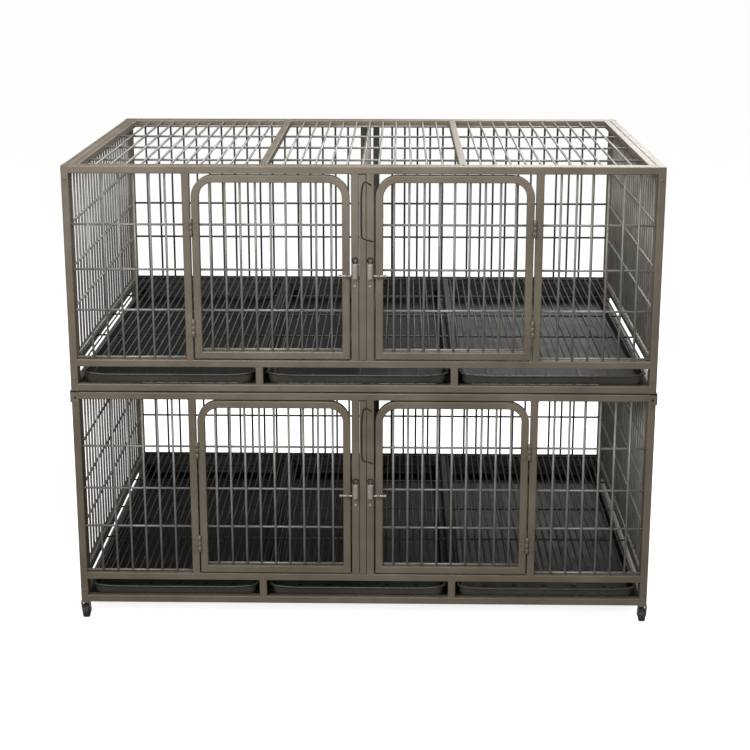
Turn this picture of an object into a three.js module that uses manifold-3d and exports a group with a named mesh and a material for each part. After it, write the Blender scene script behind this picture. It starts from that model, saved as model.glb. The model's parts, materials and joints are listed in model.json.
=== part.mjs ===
// Two-tier wire cage for small livestock: two equal welded modules of 16 mm square tube stacked on
// four casters. Millimetres, +Z up, the doors face -Y, the origin is on the floor under the centre.

import * as THREE from "three";
import { mergeVertices } from "three/addons/utils/BufferGeometryUtils.js";
import Module from "manifold-3d";

const wasm = await Module();
wasm.setup();

// ---- driving dimensions ----
const WIDTH = 1250;
const DEPTH = 820;
const TIER_HEIGHT = 485;
const TUBE = 16;
const CASTER_HEIGHT = 42;
const STACK_PLATE = 2;
const GAP = 0.3;

const SLOT_HEIGHT = 38;
const FLOOR_RAIL_BOTTOM = TUBE + SLOT_HEIGHT;
const FLOOR_TOP = FLOOR_RAIL_BOTTOM + TUBE;
const TOP_RAIL_BOTTOM = TIER_HEIGHT - TUBE;
const CENTRE_POST_X = 16;
const HINGE_POST_X = 367.5;
const TRAY_DIVIDER_X = [-220.6, 195];

const WIRE = 4.6;
const WIRE_PITCH = 32;
const EDGE_WIRE = 5;
const FLOOR_ROD = 4;
const FLOOR_PITCH = 16;
const ROOF_BAR_X = 208;
const RUNNER_FLANGE = { half: 17, thickness: 1.5 };
const TRAY_STOP = 2;

const DOOR_CLEARANCE_LATCH = 3;
const DOOR_CLEARANCE_HINGE = 3;
const DOOR_CLEARANCE_Z = 2.5;
const DOOR_CORNER_RADIUS = 47;
const DOOR_WIRE_PITCH = 31.6;
const DOOR_WIRE_COUNT = 9;

const HINGE_HEIGHTS = { bottom: 141, top: 356 };
const HINGE_AXIS_OFFSET = 4.3;
const HINGE_KNUCKLE_R = 4;
const HINGE_PIN_R = 1.8;
const HINGE_KNUCKLE = 12;
const HINGE_LEAF = { width: 12, thickness: 2 };

const BARREL = { radius: 6.3, height: 32, bottom: 249, crossHeight: 6.5, crossRadius: 3.3, wall: 2 };
const BOLT = { radius: 3, forkWidth: 3.8, forkDepth: 6, length: 28, tipClearance: 0.5, knobRadius: 4, knobLength: 4 };
const BOLT_GUIDE = { offset: 11.2, width: 5, height: 12, depth: 11 };
const PIN = { radius: 1.6, bore: 1.9, ringRadius: 5.8, ringWire: 1.3, tip: 2.4 };

const TRAY = { height: 22, wall: 2, lip: 4, taper: 5, cornerRadius: 22, cornerLift: 4, front: 408, back: 402 };
const TRAY_SPANS = { left: [-603.5, -231], middle: [-208.5, 184.5], right: [205.5, 603.5] };

const CASTER = { wheelRadius: 16, wheelWidth: 13, trail: 7, stemRadius: 4.6, stemHeight: 14, plate: 3, legGap: 1.2 };
const CASTER_BORE = { radius: 5.3, depth: 15 };
const CASTER_AXLE_R = 2.5;
const CASTER_LEG = 2;
const CASTER_LEG_BREADTH = 12;
const CASTER_TOE = { half: 4, below: 4, above: 2 };
// Corners of the bent wire on the divider's front face: x from the middle, drop below the strip's top.
const HOOK_CORNERS = [[16, 20], [-3, 8], [-3, 128], [0, 134], [14, 139]];
const STACK_PEG = { radius: 5, height: 12 };
const STACK_WALL = 2;
const STACK_SKIRT = 22;

const ROUND_SIDES = 12;
const SMALL_SIDES = 8;

const HALF_W = WIDTH / 2;
const HALF_D = DEPTH / 2;
const TIERS = {
  lower: CASTER_HEIGHT,
  upper: CASTER_HEIGHT + TIER_HEIGHT + STACK_PLATE + 2 * GAP,
};
const SIDES = { left: -1, right: 1 };

// ---- finishes ----
const powderCoat = new THREE.MeshStandardMaterial({ color: 0x7d7064, roughness: 0.45, metalness: 0.35 });
const coatedWire = new THREE.MeshStandardMaterial({ color: 0x8a8177, roughness: 0.5, metalness: 0.35 });
const trayPlastic = new THREE.MeshStandardMaterial({ color: 0x16161a, roughness: 0.25, metalness: 0 });
const zincSteel = new THREE.MeshStandardMaterial({ color: 0xb9bab8, roughness: 0.35, metalness: 0.9 });
const wheelPlastic = new THREE.MeshStandardMaterial({ color: 0x2b2b2c, roughness: 0.7, metalness: 0 });

// ---- solids ----
function solidOf(geometry) {
  const bare = geometry.clone();
  bare.deleteAttribute("normal");
  bare.deleteAttribute("uv");
  const welded = mergeVertices(bare, 1e-4);
  return new wasm.Manifold(new wasm.Mesh({
    numProp: 3,
    vertProperties: new Float32Array(welded.attributes.position.array),
    triVerts: new Uint32Array(welded.index.array),
  }));
}

function geometryOf(solid) {
  const mesh = solid.getMesh();
  const geometry = new THREE.BufferGeometry();
  geometry.setAttribute("position", new THREE.BufferAttribute(mesh.vertProperties, 3));
  geometry.setIndex(new THREE.BufferAttribute(mesh.triVerts, 1));
  return geometry;
}

const joined = (solids) => solids.reduce((whole, piece) => whole.add(piece));

const less = (solid, cutters) => cutters.reduce((whole, cutter) => whole.subtract(cutter), solid);

function block(x0, x1, y0, y1, z0, z1) {
  const geometry = new THREE.BoxGeometry(x1 - x0, y1 - y0, z1 - z0);
  geometry.translate((x0 + x1) / 2, (y0 + y1) / 2, (z0 + z1) / 2);
  return solidOf(geometry);
}

// A round bar of the given radius from one point to another.
function round(from, to, radius, sides = ROUND_SIDES) {
  const start = new THREE.Vector3(...from);
  const along = new THREE.Vector3(...to).sub(start);
  const geometry = new THREE.CylinderGeometry(radius, radius, along.length(), sides);
  geometry.translate(0, along.length() / 2, 0);
  const turn = new THREE.Quaternion().setFromUnitVectors(new THREE.Vector3(0, 1, 0), along.clone().normalize());
  geometry.applyQuaternion(turn);
  geometry.translate(...from);
  return solidOf(geometry);
}

// Stacked rings of equal point count, joined into one closed skin with flat ends.
function lofted(rings) {
  const count = rings[0].length;
  const positions = rings.flat().flatMap((point) => point);
  const index = [];
  for (let ring = 0; ring + 1 < rings.length; ring += 1) {
    for (let i = 0; i < count; i += 1) {
      const a = ring * count + i;
      const b = ring * count + (i + 1) % count;
      index.push(a, b, b + count, a, b + count, a + count);
    }
  }
  const last = (rings.length - 1) * count;
  for (let i = 1; i + 1 < count; i += 1) {
    index.push(0, i + 1, i);
    index.push(last, last + i, last + i + 1);
  }
  const geometry = new THREE.BufferGeometry();
  geometry.setAttribute("position", new THREE.Float32BufferAttribute(positions, 3));
  geometry.setIndex(index);
  return solidOf(geometry);
}

// Positions that split the span from low to high into equal bays near the given pitch.
function spaced(low, high, pitch) {
  const bays = Math.round((high - low) / pitch);
  const step = (high - low) / bays;
  return Array.from({ length: bays - 1 }, (_, i) => low + step * (i + 1));
}

// Raises a flat patch of counter-clockwise triangles in (u, v) into a plate from z = 0 to thickness.
function plateOf(triangles, thickness) {
  const open = new Map();
  const key = ([u, v]) => `${u.toFixed(4)},${v.toFixed(4)}`;
  const positions = [];
  for (const [a, b, c] of triangles) {
    positions.push(...a, thickness, ...b, thickness, ...c, thickness, ...a, 0, ...c, 0, ...b, 0);
    for (const [from, to] of [[a, b], [b, c], [c, a]]) {
      if (!open.delete(`${key(to)} ${key(from)}`)) {
        open.set(`${key(from)} ${key(to)}`, [from, to]);
      }
    }
  }
  for (const [from, to] of open.values()) {
    positions.push(...from, 0, ...to, 0, ...to, thickness, ...from, 0, ...to, thickness, ...from, thickness);
  }
  const geometry = new THREE.BufferGeometry();
  geometry.setAttribute("position", new THREE.Float32BufferAttribute(positions, 3));
  return geometry;
}

// Bars of one width centred on the given positions, as [low, high] pairs, with one flush at each end.
function evenBars(low, high, centres, width) {
  const half = width / 2;
  return [low + half, ...centres, high - half].map((u) => [u - half, u + half]);
}

// A flat welded panel between v0 and v1: bars along v, given as [low, high] pairs in u, and an edge
// bar across each end.
function barPlate(bars, v0, v1, edge, thickness) {
  const u0 = bars[0][0];
  const u1 = bars[bars.length - 1][1];
  const low = v0 + edge;
  const high = v1 - edge;
  const stations = bars.flat();
  const triangles = [[[u0, v0], [u1, v0], [u1, low]], [[u0, v1], [u1, high], [u1, v1]]];
  for (let i = 0; i + 1 < stations.length; i += 1) {
    triangles.push([[u0, v0], [stations[i + 1], low], [stations[i], low]]);
    triangles.push([[u0, v1], [stations[i], high], [stations[i + 1], high]]);
  }
  for (const [left, right] of bars) {
    triangles.push([[left, low], [right, low], [right, high]], [[left, low], [right, high], [left, high]]);
  }
  return plateOf(triangles, thickness);
}

// ---- the modules ----
const object = new THREE.Group();

function addPart(name, solid, material) {
  const mesh = new THREE.Mesh(geometryOf(solid), material);
  mesh.name = name;
  object.add(mesh);
}

// Posts and rails shared by the front and back frames, in the plane from y0 to y1.
function frameBars(y0, y1, base) {
  const rails = [[0, TUBE], [FLOOR_RAIL_BOTTOM, FLOOR_TOP], [TOP_RAIL_BOTTOM, TIER_HEIGHT]];
  const bars = rails.map(([z0, z1]) => block(-HALF_W, HALF_W, y0, y1, base + z0, base + z1));
  for (const side of [-1, 1]) {
    const outer = side * HALF_W;
    const inner = side * (HALF_W - TUBE);
    bars.push(block(Math.min(outer, inner), Math.max(outer, inner), y0, y1, base, base + TIER_HEIGHT));
    const centre = side * CENTRE_POST_X;
    bars.push(block(centre - TUBE / 2, centre + TUBE / 2, y0, y1, base + FLOOR_TOP - 1, base + TOP_RAIL_BOTTOM + 1));
  }
  return bars;
}

// The bores under the posts take the caster stems, or the pegs of the stacking corners.
function postBores(y, base) {
  return [-1, 1].map((side) => {
    const x = side * (HALF_W - TUBE / 2);
    return round([x, y, base - 1], [x, y, base + CASTER_BORE.depth], CASTER_BORE.radius, SMALL_SIDES);
  });
}

function frontFrame(base) {
  const y0 = -HALF_D;
  const y1 = y0 + TUBE;
  const bars = frameBars(y0, y1, base);
  for (const side of [-1, 1]) {
    const x = side * HINGE_POST_X;
    bars.push(block(x - TUBE / 2, x + TUBE / 2, y0, y1, base + FLOOR_TOP - 1, base + TOP_RAIL_BOTTOM + 1));
  }
  for (const x of TRAY_DIVIDER_X) {
    bars.push(block(x - TUBE / 2, x + TUBE / 2, y0, y1, base + TUBE - 1, base + FLOOR_RAIL_BOTTOM + 1));
  }
  return less(joined(bars), postBores(y0 + TUBE / 2, base));
}

// Upright wires between two edge wires, filling x from low to high in the plane y.
function wireWindow(low, high, y, z0, z1, pitch) {
  const half = WIRE / 2;
  const wires = evenBars(low, high, spaced(low + half, high - half, pitch), WIRE);
  const plate = barPlate(wires, z0, z1, EDGE_WIRE, WIRE);
  plate.rotateX(Math.PI / 2);
  plate.translate(0, y + half, 0);
  return solidOf(plate);
}

function backPanel(base) {
  const y1 = HALF_D;
  const y0 = y1 - TUBE;
  const y = (y0 + y1) / 2;
  const half = WIRE / 2;
  const bars = frameBars(y0, y1, base);
  bars.push(block(-HALF_W + TUBE - 1, HALF_W - TUBE + 1, y1 - TRAY_STOP, y1,
    base + TUBE - 1, base + FLOOR_RAIL_BOTTOM + 1));
  for (const side of [-1, 1]) {
    const near = CENTRE_POST_X + TUBE / 2;
    const far = HALF_W - TUBE;
    for (const x of spaced(near, far, WIRE_PITCH)) {
      const at = side * x;
      bars.push(block(at - half, at + half, y - half, y + half, base + FLOOR_TOP - 1, base + TOP_RAIL_BOTTOM + 1));
    }
  }
  return less(joined(bars), postBores(y, base));
}

function sidePanel(side, base) {
  const x0 = side < 0 ? -HALF_W : HALF_W - TUBE;
  const x1 = x0 + TUBE;
  const x = (x0 + x1) / 2;
  const half = WIRE / 2;
  const end = HALF_D - TUBE - GAP;
  const rails = [[0, TUBE], [FLOOR_RAIL_BOTTOM, FLOOR_TOP], [TOP_RAIL_BOTTOM, TIER_HEIGHT]];
  const bars = rails.map(([z0, z1]) => block(x0, x1, -end, end, base + z0, base + z1));
  for (const way of [-1, 1]) {
    const outer = way * end;
    const inner = way * (end - TUBE);
    bars.push(block(x0, x1, Math.min(outer, inner), Math.max(outer, inner), base, base + TIER_HEIGHT));
  }
  for (const y of spaced(-end + TUBE, end - TUBE, WIRE_PITCH)) {
    bars.push(block(x - half, x + half, y - half, y + half, base + FLOOR_TOP - 1, base + TOP_RAIL_BOTTOM + 1));
  }
  return joined(bars);
}

function roofPanel(base) {
  const endX = HALF_W - TUBE - GAP;
  const endY = HALF_D - TUBE - GAP;
  const z0 = base + TOP_RAIL_BOTTOM;
  const z1 = base + TIER_HEIGHT;
  const half = WIRE / 2;
  const zWire = (z0 + z1) / 2;
  const frame = barPlate(evenBars(-endX, endX, [-ROOF_BAR_X, ROOF_BAR_X], TUBE), -endY, endY, TUBE, TUBE);
  frame.translate(0, 0, z0);
  const bars = [solidOf(frame)];
  const edges = [-endX + TUBE / 2, -ROOF_BAR_X, ROOF_BAR_X, endX - TUBE / 2];
  for (let bay = 0; bay + 1 < edges.length; bay += 1) {
    for (const x of spaced(edges[bay] + TUBE / 2, edges[bay + 1] - TUBE / 2, WIRE_PITCH)) {
      bars.push(block(x - half, x + half, -endY + TUBE - 1, endY - TUBE + 1, zWire - half, zWire + half));
    }
  }
  return joined(bars);
}

// Rods from front to back between two cross rods, over two tube runners.
function floorGrille(base) {
  const endX = HALF_W - TUBE - 1;
  const endY = HALF_D - TUBE - GAP;
  const half = FLOOR_ROD / 2;
  const rods = spaced(-endX + half, endX - half, FLOOR_PITCH);
  const plate = barPlate(evenBars(-endX, endX, rods, FLOOR_ROD), -endY, endY, FLOOR_ROD, FLOOR_ROD);
  plate.translate(0, 0, base + FLOOR_TOP);
  const z0 = base + FLOOR_RAIL_BOTTOM;
  const runners = TRAY_DIVIDER_X.flatMap((x) => [
    block(x - TUBE / 2, x + TUBE / 2, -endY, endY, z0, base + FLOOR_TOP + 1),
    block(x - RUNNER_FLANGE.half, x + RUNNER_FLANGE.half, -endY, endY, z0, z0 + RUNNER_FLANGE.thickness),
  ]);
  return joined([solidOf(plate), ...runners]);
}

// The divider stands between the centre posts, front and back, and draws out forwards.
function divider(base) {
  const half = TUBE / 2 - 2 * GAP;
  const z0 = base + FLOOR_TOP + FLOOR_ROD + 1;
  const z1 = base + TOP_RAIL_BOTTOM - 1;
  const front = -HALF_D;
  const back = HALF_D;
  const wire = WIRE / 2;
  const inner = [front + TUBE - 1, back - 2 * GAP];
  const wires = spaced(front + TUBE, back - WIRE, WIRE_PITCH);
  const plate = barPlate(evenBars(inner[0], inner[1], wires, WIRE), z0, z1, EDGE_WIRE, WIRE);
  plate.rotateX(Math.PI / 2);
  plate.rotateZ(Math.PI / 2);
  plate.translate(-wire, 0, 0);
  const bars = [
    block(-half, half, front, front + TUBE, base + FLOOR_TOP + 1, z1),
    solidOf(plate),
  ];
  const y = front - WIRE / 2 + 0.5;
  const last = HOOK_CORNERS.length - 1;
  const hook = HOOK_CORNERS.map(([x, drop], i) => [x, i === 0 || i === last ? y - 2 : y, z1 - drop]);
  for (let i = 0; i < last; i += 1) {
    bars.push(round(hook[i], hook[i + 1], WIRE / 2, SMALL_SIDES));
  }
  return joined(bars);
}

// ---- doors, hinges and latches ----
// side is -1 for the left door and 1 for the right; the door's own shape is drawn for side 1.
const DOOR_LATCH_X = CENTRE_POST_X + TUBE / 2 + DOOR_CLEARANCE_LATCH;
const DOOR_HINGE_X = HINGE_POST_X - TUBE / 2 - DOOR_CLEARANCE_HINGE;
const HINGE_X = HINGE_POST_X - TUBE / 2 - DOOR_CLEARANCE_HINGE / 2;
const HINGE_Y = -HALF_D - HINGE_AXIS_OFFSET;
const LATCH_Y = -HALF_D - GAP - BARREL.radius;

// Closed outline with square lower corners and rounded upper ones, inset by a margin.
function doorOutline(margin, path) {
  const x0 = DOOR_LATCH_X + margin;
  const x1 = DOOR_HINGE_X - margin;
  const z0 = FLOOR_TOP + DOOR_CLEARANCE_Z + margin;
  const z1 = TOP_RAIL_BOTTOM - DOOR_CLEARANCE_Z - margin;
  const r = DOOR_CORNER_RADIUS - margin;
  path.moveTo(x0, z0);
  path.lineTo(x1, z0);
  path.lineTo(x1, z1 - r);
  path.absarc(x1 - r, z1 - r, r, 0, Math.PI / 2);
  path.lineTo(x0 + r, z1);
  path.absarc(x0 + r, z1 - r, r, Math.PI / 2, Math.PI);
  path.lineTo(x0, z0);
  return path;
}

function mirrored(solid, side) {
  return side > 0 ? solid : solid.mirror([1, 0, 0]);
}

function doorSolid(side, base) {
  const outline = doorOutline(0, new THREE.Shape());
  outline.holes.push(doorOutline(TUBE, new THREE.Path()));
  const ring = new THREE.ExtrudeGeometry(outline, { depth: TUBE, bevelEnabled: false, curveSegments: 5 });
  ring.rotateX(Math.PI / 2);
  ring.translate(0, -HALF_D + TUBE, 0);
  const y = -HALF_D + TUBE / 2;
  const half = WIRE / 2;
  const solids = [solidOf(ring)];
  const z0 = FLOOR_TOP + DOOR_CLEARANCE_Z + TUBE - 1;
  const z1 = TOP_RAIL_BOTTOM - DOOR_CLEARANCE_Z - TUBE + 1;
  const centre = (DOOR_LATCH_X + DOOR_HINGE_X) / 2;
  for (let i = 0; i < DOOR_WIRE_COUNT; i += 1) {
    const x = centre + (i - (DOOR_WIRE_COUNT - 1) / 2) * DOOR_WIRE_PITCH;
    solids.push(block(x - half, x + half, y - half, y + half, z0, z1));
  }
  const zMiddle = (z0 + z1) / 2;
  const inner = [DOOR_LATCH_X + TUBE - 1, DOOR_HINGE_X - TUBE + 1];
  solids.push(block(inner[0], inner[1], y - half, y + half, zMiddle - half, zMiddle + half));
  const leafOut = -HALF_D - GAP - HINGE_LEAF.thickness;
  for (const z of Object.values(HINGE_HEIGHTS)) {
    const knuckle = round([HINGE_X, HINGE_Y, z - HINGE_KNUCKLE / 2 + GAP],
      [HINGE_X, HINGE_Y, z + HINGE_KNUCKLE / 2 - GAP], HINGE_KNUCKLE_R, SMALL_SIDES);
    const leaf = block(HINGE_X - 2.5 - HINGE_LEAF.width, HINGE_X - 2.5, leafOut, -HALF_D + 0.5,
      z - HINGE_KNUCKLE / 2 + GAP, z + HINGE_KNUCKLE / 2 - GAP);
    const wing = block(HINGE_X - 3 - HINGE_LEAF.width, HINGE_X - 5, leafOut, -HALF_D + 0.5,
      z - HINGE_KNUCKLE * 1.5, z + HINGE_KNUCKLE * 1.5);
    solids.push(less(joined([knuckle, leaf, wing]), [
      round([HINGE_X, HINGE_Y, z - 2 * HINGE_KNUCKLE], [HINGE_X, HINGE_Y, z + 2 * HINGE_KNUCKLE],
        HINGE_PIN_R + GAP, SMALL_SIDES),
    ]));
  }
  const guideX = CENTRE_POST_X + BARREL.radius + BOLT_GUIDE.offset;
  const guideZ = BARREL.bottom + BARREL.crossHeight;
  const guide = block(guideX - BOLT_GUIDE.width / 2, guideX + BOLT_GUIDE.width / 2,
    -HALF_D - BOLT_GUIDE.depth, -HALF_D + 0.5, guideZ - BOLT_GUIDE.height / 2, guideZ + BOLT_GUIDE.height / 2);
  solids.push(less(guide, [round([guideX - 9, LATCH_Y, guideZ], [guideX + 9, LATCH_Y, guideZ],
    BOLT.radius + GAP, ROUND_SIDES)]));
  return mirrored(joined(solids), side).translate([0, 0, base]);
}

function hinge(side, base, z) {
  const reach = HINGE_KNUCKLE * 1.5;
  const leafOut = -HALF_D - GAP - HINGE_LEAF.thickness;
  const solids = [
    round([HINGE_X, HINGE_Y, z - reach], [HINGE_X, HINGE_Y, z - HINGE_KNUCKLE / 2], HINGE_KNUCKLE_R, SMALL_SIDES),
    round([HINGE_X, HINGE_Y, z + HINGE_KNUCKLE / 2], [HINGE_X, HINGE_Y, z + reach], HINGE_KNUCKLE_R, SMALL_SIDES),
    round([HINGE_X, HINGE_Y, z - reach - 1], [HINGE_X, HINGE_Y, z + reach + 1], HINGE_PIN_R, SMALL_SIDES),
    block(HINGE_X + 5, HINGE_X + 3 + HINGE_LEAF.width, leafOut, -HALF_D - GAP, z - reach, z + reach),
    block(HINGE_X + 2.5, HINGE_X + 6, leafOut, -HALF_D - GAP, z - reach, z - HINGE_KNUCKLE / 2),
    block(HINGE_X + 2.5, HINGE_X + 6, leafOut, -HALF_D - GAP, z + HINGE_KNUCKLE / 2, z + reach),
  ];
  return mirrored(joined(solids), side).translate([0, 0, base]);
}

function latchBarrel(side, base) {
  const x = CENTRE_POST_X;
  const bottom = BARREL.bottom;
  const cross = bottom + BARREL.crossHeight;
  const body = round([x, LATCH_Y, bottom], [x, LATCH_Y, bottom + BARREL.height], BARREL.radius);
  const solid = less(body, [
    round([x, LATCH_Y, bottom + BARREL.wall], [x, LATCH_Y, bottom + BARREL.height + 1], PIN.bore, SMALL_SIDES),
    round([x - BOLT.radius - 0.5, LATCH_Y, cross], [x + BARREL.radius + 1, LATCH_Y, cross],
      BARREL.crossRadius, SMALL_SIDES),
  ]);
  return mirrored(solid, side).translate([0, 0, base]);
}

// The bolt's end is forked, so that it closes around the lift pin inside the barrel.
function latchBolt(side, base) {
  const tip = CENTRE_POST_X + BARREL.radius + BOLT.tipClearance;
  const z = BARREL.bottom + BARREL.crossHeight;
  const rod = round([tip, LATCH_Y, z], [tip + BOLT.length, LATCH_Y, z], BOLT.radius, SMALL_SIDES);
  const knob = round([tip + BOLT.length - BOLT.knobLength, LATCH_Y, z], [tip + BOLT.length, LATCH_Y, z],
    BOLT.knobRadius, SMALL_SIDES);
  const fork = block(tip - 1, tip + BOLT.forkDepth, LATCH_Y - BOLT.forkWidth / 2, LATCH_Y + BOLT.forkWidth / 2,
    z - 2 * BOLT.radius, z + 2 * BOLT.radius);
  return mirrored(less(joined([rod, knob]), [fork]), side).translate([0, 0, base]);
}

function latchPin(side, base) {
  const x = CENTRE_POST_X;
  const top = BARREL.bottom + BARREL.height;
  const ringZ = top + PIN.ringRadius + PIN.ringWire + 0.8;
  const ring = new THREE.TorusGeometry(PIN.ringRadius, PIN.ringWire, 5, ROUND_SIDES);
  ring.rotateX(Math.PI / 2);
  ring.translate(x, LATCH_Y, ringZ);
  const shank = round([x, LATCH_Y, BARREL.bottom + PIN.tip],
    [x, LATCH_Y, ringZ - PIN.ringRadius], PIN.radius, SMALL_SIDES);
  return mirrored(joined([shank, solidOf(ring)]), side).translate([0, 0, base]);
}

// ---- trays ----
// One ring of a rounded rectangle at height z; the corners may rise above the sides.
function trayRing(x0, x1, y0, y1, radius, z, lift) {
  const steps = 4;
  const centres = [[x1 - radius, y1 - radius], [x0 + radius, y1 - radius],
    [x0 + radius, y0 + radius], [x1 - radius, y0 + radius]];
  return centres.flatMap(([cx, cy], corner) => Array.from({ length: steps + 1 }, (_, i) => {
    const angle = (corner + i / steps) * Math.PI / 2;
    const rise = lift * Math.sin((i / steps) * Math.PI);
    return [cx + radius * Math.cos(angle), cy + radius * Math.sin(angle), z + rise];
  }));
}

function traySolid(x0, x1, base) {
  const z0 = base + TUBE + GAP;
  const z1 = z0 + TRAY.height;
  const { wall, lip, taper, cornerRadius: r, cornerLift: lift } = TRAY;
  const y0 = -TRAY.front;
  const y1 = TRAY.back;
  const ring = (inset, z, rise) => trayRing(x0 + inset, x1 - inset, y0 + inset, y1 - inset,
    r - Math.min(inset, r - 4) * 0.6, z, rise);
  return lofted([
    ring(lip + taper, z0, 0),
    ring(lip, z1 - wall, lift),
    ring(0, z1 - wall, lift),
    ring(0, z1, lift),
    ring(lip + wall, z1, lift),
    ring(lip + taper + wall, z0 + wall, 0),
  ]);
}

// ---- stacking corners and casters ----
function stackingCorner(sideX, sideY) {
  const top = TIERS.lower + TIER_HEIGHT;
  const out = GAP + STACK_WALL;
  const block2 = (a0, a1, b0, b1, z0, z1) => block(Math.min(a0, a1), Math.max(a0, a1),
    Math.min(b0, b1), Math.max(b0, b1), z0, z1);
  const xOut = sideX * (HALF_W + out);
  const yOut = sideY * (HALF_D + out);
  const xIn = sideX * (HALF_W - TUBE);
  const yIn = sideY * (HALF_D - TUBE);
  const zTop = top + GAP + STACK_PLATE;
  const peg = [sideX * (HALF_W - TUBE / 2), sideY * (HALF_D - TUBE / 2)];
  return joined([
    block2(xIn, xOut, yIn, yOut, top + GAP, zTop),
    block2(sideX * (HALF_W + GAP), xOut, yIn, yOut, top - STACK_SKIRT, zTop),
    block2(xIn, xOut, sideY * (HALF_D + GAP), yOut, top - STACK_SKIRT, zTop),
    round([...peg, zTop - 1], [...peg, zTop + STACK_PEG.height], STACK_PEG.radius, SMALL_SIDES),
  ]);
}

function casterFork(x, y) {
  const top = CASTER_HEIGHT - GAP;
  const axleZ = CASTER.wheelRadius;
  const inner = CASTER.wheelWidth / 2 + CASTER.legGap;
  const axleY = y + CASTER.trail;
  const leg = (side) => {
    const profile = new THREE.Shape();
    profile.moveTo(y - CASTER_LEG_BREADTH / 2, top - CASTER.plate);
    profile.lineTo(axleY - CASTER_TOE.half, axleZ - CASTER_TOE.below);
    profile.lineTo(axleY + CASTER_TOE.half, axleZ - CASTER_TOE.below);
    profile.lineTo(axleY + CASTER_TOE.half + 1, axleZ + CASTER_TOE.above);
    profile.lineTo(y + CASTER_LEG_BREADTH / 2, top - CASTER.plate + 1);
    profile.lineTo(y - CASTER_LEG_BREADTH / 2, top - CASTER.plate + 1);
    const plate = new THREE.ExtrudeGeometry(profile, { depth: CASTER_LEG, bevelEnabled: false });
    plate.rotateZ(Math.PI / 2);
    plate.rotateY(Math.PI / 2);
    plate.translate(x + (side > 0 ? inner : -inner - CASTER_LEG), 0, 0);
    return solidOf(plate);
  };
  const reach = inner + CASTER_LEG;
  return joined([
    block(x - reach, x + reach, y - CASTER_LEG_BREADTH / 2, y + CASTER_LEG_BREADTH / 2, top - CASTER.plate, top),
    leg(-1),
    leg(1),
    round([x - reach - 1, axleY, axleZ], [x + reach + 1, axleY, axleZ], CASTER_AXLE_R, SMALL_SIDES),
    round([x, y, top - 1], [x, y, top + CASTER.stemHeight], CASTER.stemRadius, SMALL_SIDES),
  ]);
}

function casterWheel(x, y) {
  const half = CASTER.wheelWidth / 2;
  const r = CASTER.wheelRadius;
  const bore = CASTER_AXLE_R + GAP;
  const profile = [[bore, -half], [r - 2, -half], [r, -half + 2], [r, half - 2], [r - 2, half], [bore, half],
    [bore, -half]].map(([a, b]) => new THREE.Vector2(a, b));
  const wheel = new THREE.LatheGeometry(profile, 20);
  wheel.rotateZ(Math.PI / 2);
  wheel.translate(x, y + CASTER.trail, r);
  return solidOf(wheel);
}

// ---- assembly ----
for (const [tier, base] of Object.entries(TIERS)) {
  addPart(`front_frame_${tier}`, frontFrame(base), powderCoat);
  addPart(`back_panel_${tier}`, backPanel(base), powderCoat);
  addPart(`floor_grille_${tier}`, floorGrille(base), coatedWire);
  addPart(`divider_${tier}`, divider(base), powderCoat);
  for (const [name, side] of Object.entries(SIDES)) {
    const near = HINGE_POST_X + TUBE / 2 + GAP;
    const far = HALF_W - TUBE - GAP;
    const span = side > 0 ? [near, far] : [-far, -near];
    addPart(`front_mesh_${name}_${tier}`, wireWindow(span[0], span[1], -HALF_D + TUBE / 2,
      base + FLOOR_TOP + GAP, base + TOP_RAIL_BOTTOM - GAP, WIRE_PITCH), coatedWire);
    addPart(`side_panel_${name}_${tier}`, sidePanel(side, base), powderCoat);
    addPart(`door_${name}_${tier}`, doorSolid(side, base), powderCoat);
    for (const [level, z] of Object.entries(HINGE_HEIGHTS)) {
      addPart(`hinge_${name}_${level}_${tier}`, hinge(side, base, z), powderCoat);
    }
    addPart(`latch_barrel_${name}_${tier}`, latchBarrel(side, base), powderCoat);
    addPart(`latch_bolt_${name}_${tier}`, latchBolt(side, base), zincSteel);
    addPart(`latch_pin_${name}_${tier}`, latchPin(side, base), zincSteel);
  }
  for (const [name, [x0, x1]] of Object.entries(TRAY_SPANS)) {
    addPart(`tray_${name}_${tier}`, traySolid(x0, x1, base), trayPlastic);
  }
}

addPart("roof_panel", roofPanel(TIERS.upper), powderCoat);

for (const [endName, sideY] of Object.entries({ front: -1, back: 1 })) {
  for (const [name, sideX] of Object.entries(SIDES)) {
    const x = sideX * (HALF_W - TUBE / 2);
    const y = sideY * (HALF_D - TUBE / 2);
    addPart(`stacking_corner_${endName}_${name}`, stackingCorner(sideX, sideY), powderCoat);
    addPart(`caster_fork_${endName}_${name}`, casterFork(x, y), zincSteel);
    addPart(`caster_wheel_${endName}_${name}`, casterWheel(x, y), wheelPlastic);
  }
}

export default object;
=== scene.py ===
# %% [markdown]
# # A stacked wire cage for rabbits and other small stock
# The cage is two equal modules of square steel tube, closed with welded wire, standing on four small
# casters. Each module has two hinged doors, a wire divider, a rod floor and three slide-out trays.
# The solids of the part give every place and every size. Each piece below takes the place of one
# solid, and adds the roundings, crossing wires, welds, screws and finishes that the solid leaves out.

# %% Load the frame
import json
import math

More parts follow.
